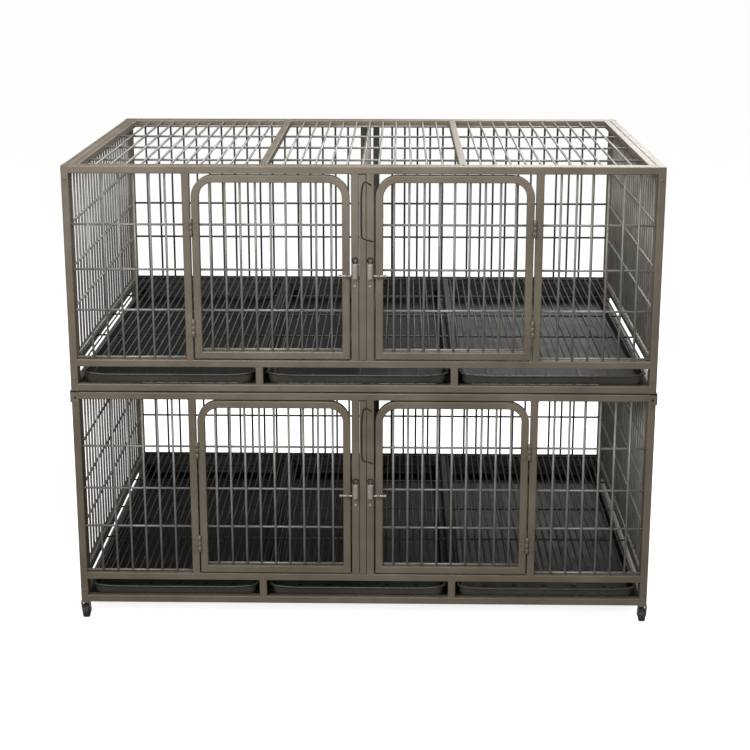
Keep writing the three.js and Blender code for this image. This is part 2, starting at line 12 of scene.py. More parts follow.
import bpy
import numpy as np
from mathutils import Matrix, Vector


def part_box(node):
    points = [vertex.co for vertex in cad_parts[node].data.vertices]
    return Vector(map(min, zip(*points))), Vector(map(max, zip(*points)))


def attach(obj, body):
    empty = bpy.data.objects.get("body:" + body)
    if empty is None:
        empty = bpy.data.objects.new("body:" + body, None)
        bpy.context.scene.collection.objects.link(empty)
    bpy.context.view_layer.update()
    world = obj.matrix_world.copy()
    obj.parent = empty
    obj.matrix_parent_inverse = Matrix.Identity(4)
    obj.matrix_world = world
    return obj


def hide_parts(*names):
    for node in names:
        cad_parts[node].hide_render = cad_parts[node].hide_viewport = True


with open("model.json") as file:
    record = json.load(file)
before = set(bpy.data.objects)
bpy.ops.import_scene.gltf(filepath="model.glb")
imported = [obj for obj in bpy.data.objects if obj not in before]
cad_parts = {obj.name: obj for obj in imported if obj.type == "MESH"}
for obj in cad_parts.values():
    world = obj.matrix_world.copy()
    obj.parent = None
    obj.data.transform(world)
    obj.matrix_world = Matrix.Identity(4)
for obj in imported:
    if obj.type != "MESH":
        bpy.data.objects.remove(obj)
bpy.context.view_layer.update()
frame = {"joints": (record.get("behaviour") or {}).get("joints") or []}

# %% [markdown]
# ## Sizes
# A frame maker works from a cutting list. The main lengths are measured on the solids, so that the
# visible cage can't drift away from the one that is simulated. Only details that the solids don't
# have, such as the roundness of a tube's corner, are given here.

# %% Measure the frame
def span(node):
    """Lowest and highest corner of a solid, as arrays, in metres."""
    low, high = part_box(node)
    return np.array(low), np.array(high)


TIERS = ("lower", "upper")
SIDES = {"left": -1, "right": 1}
MM = 0.001
frame_low, frame_high = span("front_frame_lower")
HALF_W = frame_high[0]
HALF_D = -frame_low[1]
TIER_HEIGHT = frame_high[2] - frame_low[2]
TUBE = frame_high[1] - frame_low[1]
GAP = 0.3 * MM
window_low = span("front_mesh_right_lower")[0]
FLOOR_TOP = window_low[2] - GAP - frame_low[2]
TOP_RAIL_BOTTOM = TIER_HEIGHT - TUBE
FLOOR_RAIL_BOTTOM = FLOOR_TOP - TUBE
CENTRE_POST_X = sum(span("latch_barrel_right_lower"))[0] / 2
HINGE_POST_X = window_low[0] - GAP - TUBE / 2
TRAY_DIVIDER_X = (-220.6 * MM, 195 * MM)
BASE = {tier: span(f"front_frame_{tier}")[0][2] for tier in TIERS}
print(f"tube {TUBE / MM:.1f} mm, module {TIER_HEIGHT / MM:.0f} mm high, bases {BASE}")

# %% [markdown]
# ## Surfaces from arrays
# Every piece is one or more closed skins. A skin is an array of points and some arrays of faces, and
# a face array has one row for each face. Most skins are a grid: ring after ring of points, with a
# four-sided face between each pair of neighbours. Working on whole arrays is quick, and a grid that
# wraps round closes by itself without a seam.

# %% Grids, units and repeats
def unit(vectors):
    """Vectors divided by their own length."""
    vectors = np.asarray(vectors, float)
    return vectors / np.linalg.norm(vectors, axis=-1, keepdims=True)


def grid_faces(rows, columns, wrap_rows=False):
    """Four-sided faces of rings of points; the columns always wrap round."""
    first = np.arange(rows if wrap_rows else rows - 1)
    row, column = np.meshgrid(first, np.arange(columns), indexing="ij")
    next_row, next_column = (row + 1) % rows, (column + 1) % columns
    corners = [row * columns + column, row * columns + next_column,
               next_row * columns + next_column, next_row * columns + column]
    return np.stack(corners, -1).reshape(-1, 4)


def repeated(faces, count, stride):
    """The same faces for each of several copies, whose points follow each other."""
    faces = np.asarray(faces)
    return (faces[None] + np.arange(count)[:, None, None] * stride).reshape(-1, faces.shape[1])


def skin(points, faces, finish, smooth=False):
    """One closed skin: its points, its face arrays with a finish for each, and its shading."""
    finishes = [finish] * len(faces) if isinstance(finish, str) else finish
    points = np.asarray(points, float).reshape(-1, 3)
    return {"points": points, "faces": list(zip(faces, finishes)), "smooth": smooth}


# %% [markdown]
# ## Outlines
# A square tube isn't sharp: its corners are bent to a radius of about its wall thickness, and this
# rounding catches a thin line of light. A wire is a circle of eight points, because hundreds of
# wires are seen at two millimetres to the eye and more points would add nothing.

# %% Rounded rectangle and circle
def rounded_rectangle(width, height, radius, steps=4):
    """Four quarter circles, anticlockwise, each centred one radius in from its corner."""
    angles = (np.arange(4)[:, None] + np.linspace(0, 1, steps)[None]) * np.pi / 2
    signs = np.array([[1, 1], [-1, 1], [-1, -1], [1, -1]])
    centres = signs * (np.array([width, height]) / 2 - radius)
    ring = centres[:, None] + radius * np.stack([np.cos(angles), np.sin(angles)], -1)
    return ring.reshape(-1, 2)


def circle(radius, sides=8):
    """Points at equal angles, at one distance from the centre."""
    angles = np.arange(sides) * 2 * np.pi / sides
    return radius * np.stack([np.cos(angles), np.sin(angles)], -1)


TUBE_CORNER = 1.9 * MM
WIRE_RADIUS = 2.5 * MM
TUBE_OUTLINE = rounded_rectangle(TUBE, TUBE, TUBE_CORNER)
WIRE_OUTLINE = circle(WIRE_RADIUS)
print("tube outline", TUBE_OUTLINE.shape, "wire outline", WIRE_OUTLINE.shape)

# %% [markdown]
# ## Straight stock
# Tube, strip and wire are all cut to length from straight stock. One function makes any number of
# bars at once: it carries an outline from each start to each end, and closes both ends with a flat
# face, as a saw leaves them.

# %% Bars and slabs
ROUND_SHARE = 1 / 2.1


def bars(starts, ends, outline, finish, up=(0, 0, 1), smooth=False):
    """Point = end + u * side + v * lift, where side is along x up and lift is along x side."""
    starts, ends = (np.atleast_2d(places).astype(float) for places in (starts, ends))
    starts, ends = np.broadcast_arrays(starts, ends)
    along = unit(ends - starts)
    side = unit(np.cross(along, up))
    lift = np.cross(along, side)
    section = side[:, None] * outline[None, :, :1] + lift[:, None] * outline[None, :, 1:]
    points = np.stack([starts[:, None] + section, ends[:, None] + section], 1)
    count, size = len(starts), len(outline)
    ring = np.arange(size)
    faces = [repeated(grid_faces(2, size), count, 2 * size),
             repeated(ring[None, ::-1], count, 2 * size), repeated(ring[None] + size, count, 2 * size)]
    return skin(points, faces, finish, smooth)


def slab(low, high, radius, finish="powder_coat"):
    """A straight bar along a box's longest side; its rounded edges leave a little of each side flat."""
    low, high = np.array(low, float), np.array(high, float)
    size, middle = high - low, (low + high) / 2
    axis = int(np.argmax(size))
    across, up = {0: (1, 2), 1: (0, 2), 2: (0, 1)}[axis]
    start, end = middle.copy(), middle.copy()
    start[axis], end[axis] = low[axis], high[axis]
    radius = min(radius, size[across] * ROUND_SHARE, size[up] * ROUND_SHARE)
    outline = rounded_rectangle(size[across], size[up], radius)
    return bars(start, end, outline, finish, up=np.eye(3)[up])


def tubes(boxes, finish="powder_coat"):
    """Square tubes that fill the given boxes."""
    return [slab(low, high, TUBE_CORNER, finish) for low, high in boxes]


# %% [markdown]
# ## Bent stock
# The door frame is one tube bent round two top corners and mitred at the two lower ones. Such a
# piece is an outline carried along a path. At each point of the path the outline stands square to
# the average of the directions before and after it, and is stretched a little, so that a mitred
# corner keeps the tube's full width.

# %% Sweep along a flat path
def sweep(path, outline, normal, finish, closed=False, smooth=True):
    """Point = path + u * side + v * normal; side is normal x direction over cos(half the turn)."""
    path, normal = np.asarray(path, float), np.asarray(normal, float)
    step = unit(np.roll(path, -1, 0) - path)
    before, after = np.roll(step, 1, 0), step.copy()
    if not closed:
        before[0], after[-1] = after[0], before[-1]
    direction = unit(before + after)
    stretch = 1 / np.sum(direction * after, -1, keepdims=True)
    side = np.cross(normal, direction) * stretch
    points = path[:, None] + side[:, None] * outline[None, :, :1] + normal * outline[None, :, 1:]
    rows, size = len(path), len(outline)
    faces = [grid_faces(rows, size, closed)]
    if not closed:
        ring = np.arange(size)
        faces += [ring[None, ::-1], ring[None] + (rows - 1) * size]
    return skin(points, faces, finish, smooth)


def soften(path, rounds=3):
    """Corner cutting: each leg keeps its middle half, and a bent wire loses its sharp corners."""
    for _ in range(rounds):
        inner = np.stack([0.75 * path[:-1] + 0.25 * path[1:], 0.25 * path[:-1] + 0.75 * path[1:]], 1)
        path = np.concatenate([path[:1], inner.reshape(-1, path.shape[1])[1:-1], path[-1:]])
    return path


# %% [markdown]
# ## Turned parts
# Pins, barrels, wheels, screw heads and weld spots are all round about an axis. A profile of radius
# and height is carried round it. A solid part starts and ends on the axis in a single point; a part
# with a hole has a closed profile instead.

# %% Revolve a profile
def revolve(profile, origins, axis, finish, sides=16, closed=False, smooth=True):
    """Point = origin + radius * (cos a, sin a) across the axis + height along it."""
    profile, axis = np.asarray(profile, float), unit(axis)
    origins = np.atleast_2d(origins).astype(float)
    helper = np.eye(3)[int(np.argmin(np.abs(axis)))]
    first = unit(np.cross(axis, helper))
    second = np.cross(axis, first)
    turn = circle(1, sides)
    around = turn[:, :1] * first + turn[:, 1:] * second
    rings = profile if closed else profile[1:-1]
    points = (rings[:, None, :1] * around[None] + rings[:, None, 1:] * axis).reshape(-1, 3)
    faces = [grid_faces(len(rings), sides, closed)]
    if not closed:
        low, high, last = len(points), len(points) + 1, (len(rings) - 1) * sides
        points = np.concatenate([points, profile[[0, -1], 1:] * axis])
        one, two = np.arange(sides), (np.arange(sides) + 1) % sides
        fans = [np.stack([np.full(sides, low), two, one], -1),
                np.stack([last + one, last + two, np.full(sides, high)], -1)]
        faces.append(np.concatenate(fans))
    stride = len(points)
    faces = [repeated(rows, len(origins), stride) for rows in faces]
    return skin(origins[:, None] + points[None], faces, finish, smooth)


# %% [markdown]
# ## From skins to a piece
# All the skins of a piece go into one mesh in one pass, and the piece then says what it stands for:
# the solid it hides, the body it moves with, and the finish a repaint would use.

# %% Write a mesh and declare a piece
FINISHES = {}
made = []


def mesh_of(name, skins):
    """Joins skins end to end, shifting each one's face numbers by the points before it."""
    finishes = sorted({finish for one in skins for _, finish in one["faces"]})
    starts = np.cumsum([0] + [len(one["points"]) for one in skins])
    rows = [(faces + start, one["smooth"], finishes.index(finish))
            for one, start in zip(skins, starts) for faces, finish in one["faces"]]
    sizes = np.concatenate([np.full(len(faces), faces.shape[1]) for faces, _, _ in rows])
    smooth = np.concatenate([np.full(len(faces), round_over) for faces, round_over, _ in rows])
    slots = np.concatenate([np.full(len(faces), slot) for faces, _, slot in rows])
    corners = np.concatenate([faces.ravel() for faces, _, _ in rows])
    points = np.concatenate([one["points"] for one in skins])
    mesh = bpy.data.meshes.new(name)
    mesh.vertices.add(len(points))
    mesh.vertices.foreach_set("co", points.astype(np.float32).ravel())
    mesh.loops.add(len(corners))
    mesh.loops.foreach_set("vertex_index", corners.astype(np.int32))
    mesh.polygons.add(len(sizes))
    mesh.polygons.foreach_set("loop_start", (np.cumsum(sizes) - sizes).astype(np.int32))
    mesh.polygons.foreach_set("material_index", slots.astype(np.int32))
    mesh.polygons.foreach_set("use_smooth", smooth)
    mesh.update(calc_edges=True)
    mesh.validate()
    for finish in finishes:
        mesh.materials.append(FINISHES[finish])
    return mesh


def declare(obj, node, body):
    """Hides the solid, and lets the piece move with its body."""
    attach(obj, body)
    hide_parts(node)
    made.append((obj.name, len(obj.data.polygons)))
    return obj


def piece(node, skins, body="cage"):
    """A finished piece that stands for one solid, named after it."""
    name = f"{node}.visible"
    obj = bpy.data.objects.new(name, mesh_of(name, skins))
    bpy.context.scene.collection.objects.link(obj)
    return declare(obj, node, body)


# %% [markdown]
# ## Finish: powder coat
# The tube is sprayed with a taupe powder that melts into a satin skin. Under a lamp it shows a fine
# orange peel, slow changes of shade where the coat is thicker, and a few dusty specks. The noise
# reads object coordinates in metres, so its grain has a real size. A painted image would be sharper
# but would need flat seams on every bar.

# %% A satin coat over metal
NOISE_RANGE = (0.25, 0.75)
SHADE_RANGE = (0.30, 0.70)
BUMP_STRENGTH = 0.35
COAT_ROUGHNESS = 0.2


def noise(nodes, links, coordinates, scale, detail, roughness=0.55):
    """Cloudy values from 0 to 1, with the given number of blobs to a metre."""
    node = nodes.new("ShaderNodeTexNoise")
    node.inputs["Scale"].default_value = scale
    node.inputs["Detail"].default_value = detail
    node.inputs["Roughness"].default_value = roughness
    links.new(coordinates, node.inputs["Vector"])
    return node.outputs["Fac"]


def ramp(nodes, links, value, stops):
    """Turns a value into a colour between the given stops."""
    node = nodes.new("ShaderNodeValToRGB")
    while len(node.color_ramp.elements) < len(stops):
        node.color_ramp.elements.new(0.5)
    for element, (position, colour) in zip(node.color_ramp.elements, stops):
        element.position = position
        element.color = (*colour, 1)
    links.new(value, node.inputs["Fac"])
    return node.outputs["Color"]


def stretched(nodes, links, value, low, high):
    """Stretches the part of 0..1 that noise really fills to low..high."""
    node = nodes.new("ShaderNodeMapRange")
    node.inputs["From Min"].default_value, node.inputs["From Max"].default_value = NOISE_RANGE
    node.inputs["To Min"].default_value = low
    node.inputs["To Max"].default_value = high
    links.new(value, node.inputs["Value"])
    return node.outputs["Result"]


def new_finish(name, shades, patch_scale, roughness, grain_scale, grain_depth,
               metal=0.0, coat=0.0, shine=0.5):
    """A finish of slow shade patches, uneven gloss and a fine grain that is raised by a bump."""
    material = bpy.data.materials.new(name)
    material.use_nodes = True
    nodes, links = material.node_tree.nodes, material.node_tree.links
    shader = nodes["Principled BSDF"]
    place = nodes.new("ShaderNodeTexCoord").outputs["Object"]
    patches = noise(nodes, links, place, patch_scale, 5)
    stops = list(zip(np.linspace(*SHADE_RANGE, len(shades)), shades))
    links.new(ramp(nodes, links, patches, stops), shader.inputs["Base Color"])
    gloss = noise(nodes, links, place, patch_scale * 4, 3)
    links.new(stretched(nodes, links, gloss, *roughness), shader.inputs["Roughness"])
    grain = noise(nodes, links, place, grain_scale, 2)
    bump = nodes.new("ShaderNodeBump")
    bump.inputs["Strength"].default_value = BUMP_STRENGTH
    bump.inputs["Distance"].default_value = grain_depth
    links.new(grain, bump.inputs["Height"])
    links.new(bump.outputs["Normal"], shader.inputs["Normal"])
    shader.inputs["Specular IOR Level"].default_value = shine
    shader.inputs["Metallic"].default_value = metal
    shader.inputs["Coat Weight"].default_value = coat
    shader.inputs["Coat Roughness"].default_value = COAT_ROUGHNESS
    FINISHES[name] = material
    return material


new_finish("powder_coat", [(0.158, 0.128, 0.092), (0.186, 0.153, 0.112), (0.218, 0.182, 0.136)],
           9, (0.34, 0.50), 900, 0.12 * MM, metal=0.15)
# The wires' coat: the same taupe as the tubes, painted lighter and greyer as the highlights along the thin
# round wires.
new_finish("coated_wire", [(0.215, 0.200, 0.178), (0.265, 0.248, 0.222), (0.325, 0.306, 0.276)],
           24, (0.28, 0.42), 1200, 0.08 * MM, metal=0.2)
# Darker copies of the tube coat and the wire coat: painted shade for the dim back panels.
new_finish("shaded_coat", [(0.074, 0.065, 0.053), (0.096, 0.086, 0.070), (0.122, 0.110, 0.092)],
           9, (0.38, 0.54), 900, 0.12 * MM, metal=0.15)
new_finish("shaded_wire", [(0.054, 0.050, 0.044), (0.074, 0.069, 0.061), (0.100, 0.093, 0.083)],
           24, (0.36, 0.50), 1200, 0.08 * MM, metal=0.2)
# A lighter copy of the tube coat: painted light on the latch barrels, which catch light from above, and a
# painted highlight on the studs under them.
new_finish("latch_coat", [(0.340, 0.310, 0.260), (0.400, 0.365, 0.310), (0.460, 0.425, 0.365)],
           60, (0.30, 0.44), 1200, 0.06 * MM, metal=0.25)
# Nearly black wire for the divider's hook and the pin's ring: partly their own dark colour, partly painted
# shade for the shadow they sit in.
new_finish("bare_wire", [(0.014, 0.012, 0.010), (0.022, 0.019, 0.016), (0.034, 0.030, 0.026)],
           40, (0.45, 0.62), 1200, 0.08 * MM, metal=0.3)
print("coats:", sorted(FINISHES))

# %% [markdown]
# ## Finishes: plastic, zinc, rubber and weld
# The trays are thin black sheet, glossier outside than in the basin, and the basin is painted darker
# as the shade inside it. The rods of the floor and the runners under them are painted nearly black, as
# the shade they lie in. The bolts and pins are plated, so they are pale and a little cloudy. The wheels
# are moulded dark grey. A weld bead under the coat is darker and rougher than the tube around it. One
# function makes them all, so that they differ only in what the eye can tell apart.

# %% The other finishes
new_finish("tray_plastic", [(0.040, 0.040, 0.033), (0.054, 0.053, 0.044), (0.070, 0.069, 0.058)],
           6, (0.20, 0.32), 350, 0.10 * MM, coat=0.1)
# The basin: the same black plastic painted darker, as the shade inside the tray.
new_finish("tray_basin", [(0.0050, 0.0047, 0.0050), (0.0075, 0.0070, 0.0074), (0.0115, 0.0108, 0.0112)],
           6, (0.36, 0.52), 350, 0.10 * MM, shine=0.3)
# The floor rods: the wire coat painted nearly black, as painted shade for the dim floor of the cage.
new_finish("floor_rod", [(0.030, 0.029, 0.027), (0.042, 0.041, 0.038), (0.058, 0.056, 0.052)],
           30, (0.34, 0.50), 900, 0.08 * MM, metal=0.2)
# Nearly black: painted shade on the tray strips, floor runners and flanges, where the tray bay lies in
# shadow.
new_finish("runner_coat", [(0.008, 0.008, 0.008), (0.012, 0.012, 0.012), (0.018, 0.017, 0.017)],
           9, (0.50, 0.64), 900, 0.10 * MM, shine=0.25)
new_finish("zinc", [(0.24, 0.23, 0.21), (0.33, 0.32, 0.30), (0.43, 0.42, 0.40)],
           60, (0.34, 0.52), 1500, 0.05 * MM, metal=0.7)
new_finish("wheel_plastic", [(0.020, 0.020, 0.021), (0.034, 0.033, 0.034), (0.055, 0.053, 0.052)],
           40, (0.45, 0.65), 1200, 0.10 * MM)
new_finish("weld", [(0.085, 0.070, 0.052), (0.125, 0.103, 0.078), (0.180, 0.150, 0.118)],
           120, (0.40, 0.60), 1600, 0.15 * MM, metal=0.35)
print("finishes:", sorted(FINISHES))

# %% [markdown]
# ## Welds, screws and crossing wires
# Where two wires cross, a spot weld sinks them a little into each other and leaves a small lump.
# Where a tube meets a tube, a bead of weld fills the inner corner. These lumps have very few faces,
# because there are hundreds of them. The crossing wires lie behind the upright ones, by a little less
# than one wire's thickness, as on real welded mesh.

# %% Small details
NUGGET = np.array([(0, -1), (0.8, -0.5), (0.8, 0.5), (0, 1)]) * 3.2 * MM
SCREW = np.array([(0, -0.5), (3.3, -0.5), (3.3, 0.5), (2.5, 1.3), (1.2, 1.6), (0, 1.65)]) * MM
RIVET = np.array([(0, -0.3), (2.1, -0.3), (2.1, 0.2), (1.4, 0.6), (0, 0.7)]) * MM
BEAD_OUTLINE = circle(1.7 * MM, 6)
CROSS_SINK = 0.85


def nuggets(points, axis, finish):
    """Weld spots at the given points, under the same coat as the wires."""
    return revolve(NUGGET, points, axis, finish, sides=6)


def screws(points, axis, finish="powder_coat", profile=SCREW):
    """Domed heads that stand on a face whose outward direction is the axis."""
    return revolve(profile, points, axis, finish, sides=14)


def crossings(first, second, fixed, order):
    """Every pairing of two lists of places, in a plane at a fixed third place."""
    one, two = (grid.ravel() for grid in np.meshgrid(first, second, indexing="ij"))
    return np.stack([(one, two, np.full(one.shape, fixed))[i] for i in order], -1)


def spaced(low, high, pitch):
    """Places that split a span into equal bays near the given pitch."""
    bays = int(round((high - low) / pitch))
    return low + (high - low) * np.arange(1, bays) / bays


# By default the wires take the lighter wire coat, whose extra lightness is a painted highlight.
def wire_net(u, v, u_span, v_span, place, plane, behind, finish="coated_wire"):
    """Wires along v at each u, and wires along u at each v, one thickness behind them."""
    axis_u, axis_v, axis_n = place
    step = 2 * WIRE_RADIUS * CROSS_SINK * behind
    upright = np.zeros((2, len(u), 3))
    upright[:, :, axis_u], upright[:, :, axis_n] = u, plane
    upright[0, :, axis_v], upright[1, :, axis_v] = v_span
    level = np.zeros((2, len(v), 3))
    level[:, :, axis_v], level[:, :, axis_n] = v, plane + step
    level[0, :, axis_u], level[1, :, axis_u] = u_span
    spots = crossings(u, v, plane + step / 2, np.argsort(place))
    normal = np.eye(3)[axis_n]
    return [bars(upright[0], upright[1], WIRE_OUTLINE, finish, up=normal, smooth=True),
            bars(level[0], level[1], WIRE_OUTLINE, finish, up=normal, smooth=True),
            nuggets(spots, normal, finish)]


# %% [markdown]
# ## Front and back frames
# Each module starts as two upright frames. The posts run full height, and three rails are cut
# between them: the bottom rail that carries the trays, the floor rail above the tray bay, and the
# top rail. Shorter posts carry the doors. Beads of weld sit in the corners where posts meet rails.

# %% Posts, rails and their welds
RAIL_HEIGHTS = ((0, TUBE), (FLOOR_RAIL_BOTTOM, FLOOR_TOP), (TOP_RAIL_BOTTOM, TIER_HEIGHT))
SCREW_INSET = 1.7 * TUBE
TUCK = 1 * MM
SHEET_EDGE = 0.5 * MM


def corner_screws(centres, base, face, order, axis, finish="powder_coat"):
    """A screw near the top and the bottom of each corner post, on the given face."""
    levels = [base + SCREW_INSET, base + TIER_HEIGHT - SCREW_INSET]
    return screws(crossings(centres, levels, face, order), axis, finish)


def post_beads(x_places, z_low, z_high, y_low, y_high):
    """A bead in each of the four corners between an upright and the rails above and below."""
    edges = np.concatenate([np.asarray(x_places) - TUBE / 2, np.asarray(x_places) + TUBE / 2])
    spots = crossings(edges, [z_low, z_high], 0, (0, 2, 1))
    starts, ends = spots.copy(), spots.copy()
    starts[:, 1], ends[:, 1] = y_low + TUCK, y_high - TUCK
    return bars(starts, ends, BEAD_OUTLINE, "weld", smooth=True)


def wall_reach(base):
    """From the floor rail to the top rail of a module, and a little into both."""
    return base + FLOOR_TOP - TUCK, base + TOP_RAIL_BOTTOM + TUCK


def end_frame(y_low, base, uprights, stubs, out, finish="powder_coat"):
    """Corner posts, three rails, door posts and tray posts of one upright frame."""
    y_high = y_low + TUBE
    inner = HALF_W - TUBE
    boxes = [((-HALF_W, y_low, base), (-inner, y_high, base + TIER_HEIGHT)),
             ((inner, y_low, base), (HALF_W, y_high, base + TIER_HEIGHT))]
    boxes += [((-inner - TUCK, y_low, base + low), (inner + TUCK, y_high, base + high))
              for low, high in RAIL_HEIGHTS]
    skins = [corner_screws([-HALF_W + TUBE / 2, HALF_W - TUBE / 2], base, y_low if out < 0 else y_high,
                           (0, 2, 1), (0, out, 0), finish)]
    half = TUBE / 2
    for places, low, high in ((uprights, base + FLOOR_TOP, base + TOP_RAIL_BOTTOM),
                              (stubs, base + TUBE, base + FLOOR_RAIL_BOTTOM)):
        boxes += [((x - half, y_low, low - TUCK), (x + half, y_high, high + TUCK)) for x in places]
        if places:
            skins.append(post_beads(places, low, high, y_low, y_high))
    return skins + tubes(boxes, finish)


# %% [markdown]
# ## Front frames
# The front frame has two posts for each door. Its tray bay is split by two short posts, and a strip
# of sheet runs back from each of them, and from each side, for the trays to slide on; the strips are
# painted nearly black as the shade in the tray bay. A round stud in a lighter copy of the coat sits
# under each latch; its pale colour is a painted highlight. The strips are plain slabs, because only
# their painted dark tops are ever seen.

# %% Front frames
# The stud's pale coat is a painted highlight under each latch.
LATCH_STUD = np.array([(0, -0.5), (2.6, -0.5), (3.4, 0.6), (3.2, 2.2), (2.0, 3.2), (0, 3.4)]) * MM
LATCH_STUD_DROP = 17 * MM
TRAY_STRIP = 40 * MM
STRIP_THICKNESS = 2 * MM
for tier in TIERS:
    base = BASE[tier]
    uprights = [-HINGE_POST_X, -CENTRE_POST_X, CENTRE_POST_X, HINGE_POST_X]
    skins = end_frame(-HALF_D, base, uprights, list(TRAY_DIVIDER_X), -1)
    wall = HALF_W - TUBE
    runs = [(-wall, -wall + TRAY_STRIP), (wall - TRAY_STRIP, wall)]
    runs += [(x - TRAY_STRIP, x + TRAY_STRIP) for x in TRAY_DIVIDER_X]
    # The tray strips are painted nearly black, as the shade in the tray bay.
    skins += [slab((low, TUBE - HALF_D - TUCK, base + TUBE - STRIP_THICKNESS),
                   (high, HALF_D - TUBE - GAP, base + TUBE), SHEET_EDGE, "runner_coat")
              for low, high in runs]
    stud_z = span(f"latch_barrel_left_{tier}")[0][2] - LATCH_STUD_DROP
    studs = [(-CENTRE_POST_X, -HALF_D, stud_z), (CENTRE_POST_X, -HALF_D, stud_z)]
    skins.append(revolve(LATCH_STUD, studs, (0, -1, 0), "latch_coat", sides=14))
    piece(f"front_frame_{tier}", skins)
print("front frames:", made[-2:])

# %% [markdown]
# ## Back panels
# The closed walls are welded mesh: upright wires about 32 mm apart, with four wires across them. The
# spacing is set so that the end gaps equal the others, which is how a maker avoids a narrow last bay.
# The back is painted in a darker copy of the coat, as painted shade for the dim back of the cage, and a
# strip of sheet across its foot, in the same painted shade, stops the trays.

# %% Back panels
WIRE_PITCH = 32 * MM
BACK_WIRE_HEIGHTS = np.array([73, 180, 268, 361]) * MM
TRAY_STOP = 2 * MM
for tier in TIERS:
    base = BASE[tier]
    # The back frame, its tray stop and its mesh take the darker copies of the coats, which paint the shade
    # at the back.
    skins = end_frame(HALF_D - TUBE, base, [-CENTRE_POST_X, CENTRE_POST_X], [], 1, "shaded_coat")
    skins.append(slab((-HALF_W + TUBE - TUCK, HALF_D - TRAY_STOP, base + TUBE - TUCK),
                      (HALF_W - TUBE + TUCK, HALF_D, base + FLOOR_RAIL_BOTTOM + TUCK),
                      SHEET_EDGE, "shaded_coat"))
    for side in SIDES.values():
        near, far = side * (CENTRE_POST_X + TUBE / 2), side * (HALF_W - TUBE)
        low, high = min(near, far), max(near, far)
        skins += wire_net(spaced(low, high, WIRE_PITCH), base + BACK_WIRE_HEIGHTS, (low - TUCK, high + TUCK),
                          wall_reach(base), (0, 2, 1), HALF_D - TUBE / 2, -1, "shaded_wire")
    piece(f"back_panel_{tier}", skins)
print("back panels:", made[-2:])

# %% [markdown]
# ## Side panels
# A side panel is the same mesh in a frame of its own, and two screws hold it to each corner post. Its
# wires stand in the middle of the tube, with the crossing wires on the inner side, away from hands.

# %% Side panels
for tier in TIERS:
    base = BASE[tier]
    for name, side in SIDES.items():
        node = f"side_panel_{name}_{tier}"
        low, high = span(node)
        y0, y1 = low[1], high[1]
        boxes = [((low[0], y0, base), (high[0], y0 + TUBE, base + TIER_HEIGHT)),
                 ((low[0], y1 - TUBE, base), (high[0], y1, base + TIER_HEIGHT))]
        reach = (y0 + TUBE - TUCK, y1 - TUBE + TUCK)
        boxes += [((low[0], reach[0], base + a), (high[0], reach[1], base + b)) for a, b in RAIL_HEIGHTS]
        skins = tubes(boxes)
        skins += wire_net(spaced(y0 + TUBE, y1 - TUBE, WIRE_PITCH), base + BACK_WIRE_HEIGHTS, reach,
                          wall_reach(base), (1, 2, 0), (low[0] + high[0]) / 2, -side)
        skins.append(corner_screws([y0 + TUBE / 2, y1 - TUBE / 2], base, high[0] if side > 0 else low[0],
                                   (2, 0, 1), (side, 0, 0)))
        piece(node, skins)
print("side panels:", made[-4:])

# %% [markdown]
# ## Front windows
# Beside each door a fixed net of wires closes the front. It has no frame of its own: its wires end in
# the posts and rails, and they run a millimetre into them, so that no gap shows.

# %% Front windows
WINDOW_WIRE_HEIGHTS = np.array([74, 177, 265, 361]) * MM
for tier in TIERS:
    base = BASE[tier]
    for name in SIDES:
        node = f"front_mesh_{name}_{tier}"
        low, high = span(node)
        half = (high[1] - low[1]) / 2
        places = spaced(low[0] + half, high[0] - half, WIRE_PITCH)
        skins = wire_net(places, base + WINDOW_WIRE_HEIGHTS, (low[0] - TUCK, high[0] + TUCK),
                         (low[2] - TUCK, high[2] + TUCK), (0, 2, 1),
                         (low[1] + high[1]) / 2 - WIRE_RADIUS, 1)
        piece(node, skins, "cage")
print("windows:", made[-4:])

# %% [markdown]
# ## Roof
# The roof is a tube frame with two cross bars, and mesh whose long wires run from front to back. Only
# the upper module has one, since the upper module's trays cover the lower one.

# %% Roof panel
ROOF_BAR_X = 208 * MM
ROOF_CROSS_DEPTHS = np.array([156, 349, 544, 739]) * MM
low, high = span("roof_panel")
x0, x1, y0, y1 = low[0], high[0], low[1], high[1]
boxes = [((x0, y0, low[2]), (x1, y0 + TUBE, high[2])), ((x0, y1 - TUBE, low[2]), (x1, y1, high[2]))]
centres = [x0 + TUBE / 2, -ROOF_BAR_X, ROOF_BAR_X, x1 - TUBE / 2]
reach = (y0 + TUBE - TUCK, y1 - TUBE + TUCK)
boxes += [((x - TUBE / 2, reach[0], low[2]), (x + TUBE / 2, reach[1], high[2])) for x in centres]
skins = tubes(boxes)
for left, right in zip(centres[:-1], centres[1:]):
    bay = (left + TUBE / 2, right - TUBE / 2)
    skins += wire_net(spaced(*bay, WIRE_PITCH), -HALF_D + ROOF_CROSS_DEPTHS,
                      (bay[0] - TUCK, bay[1] + TUCK), reach, (0, 1, 2),
                      (low[2] + high[2]) / 2 + WIRE_RADIUS, -1)
heads = crossings(centres[1:3], [y0 + TUBE / 2, y1 - TUBE / 2], high[2], (0, 1, 2))
skins.append(screws(heads, (0, 0, 1)))
piece("roof_panel", skins)
print("roof:", made[-1])
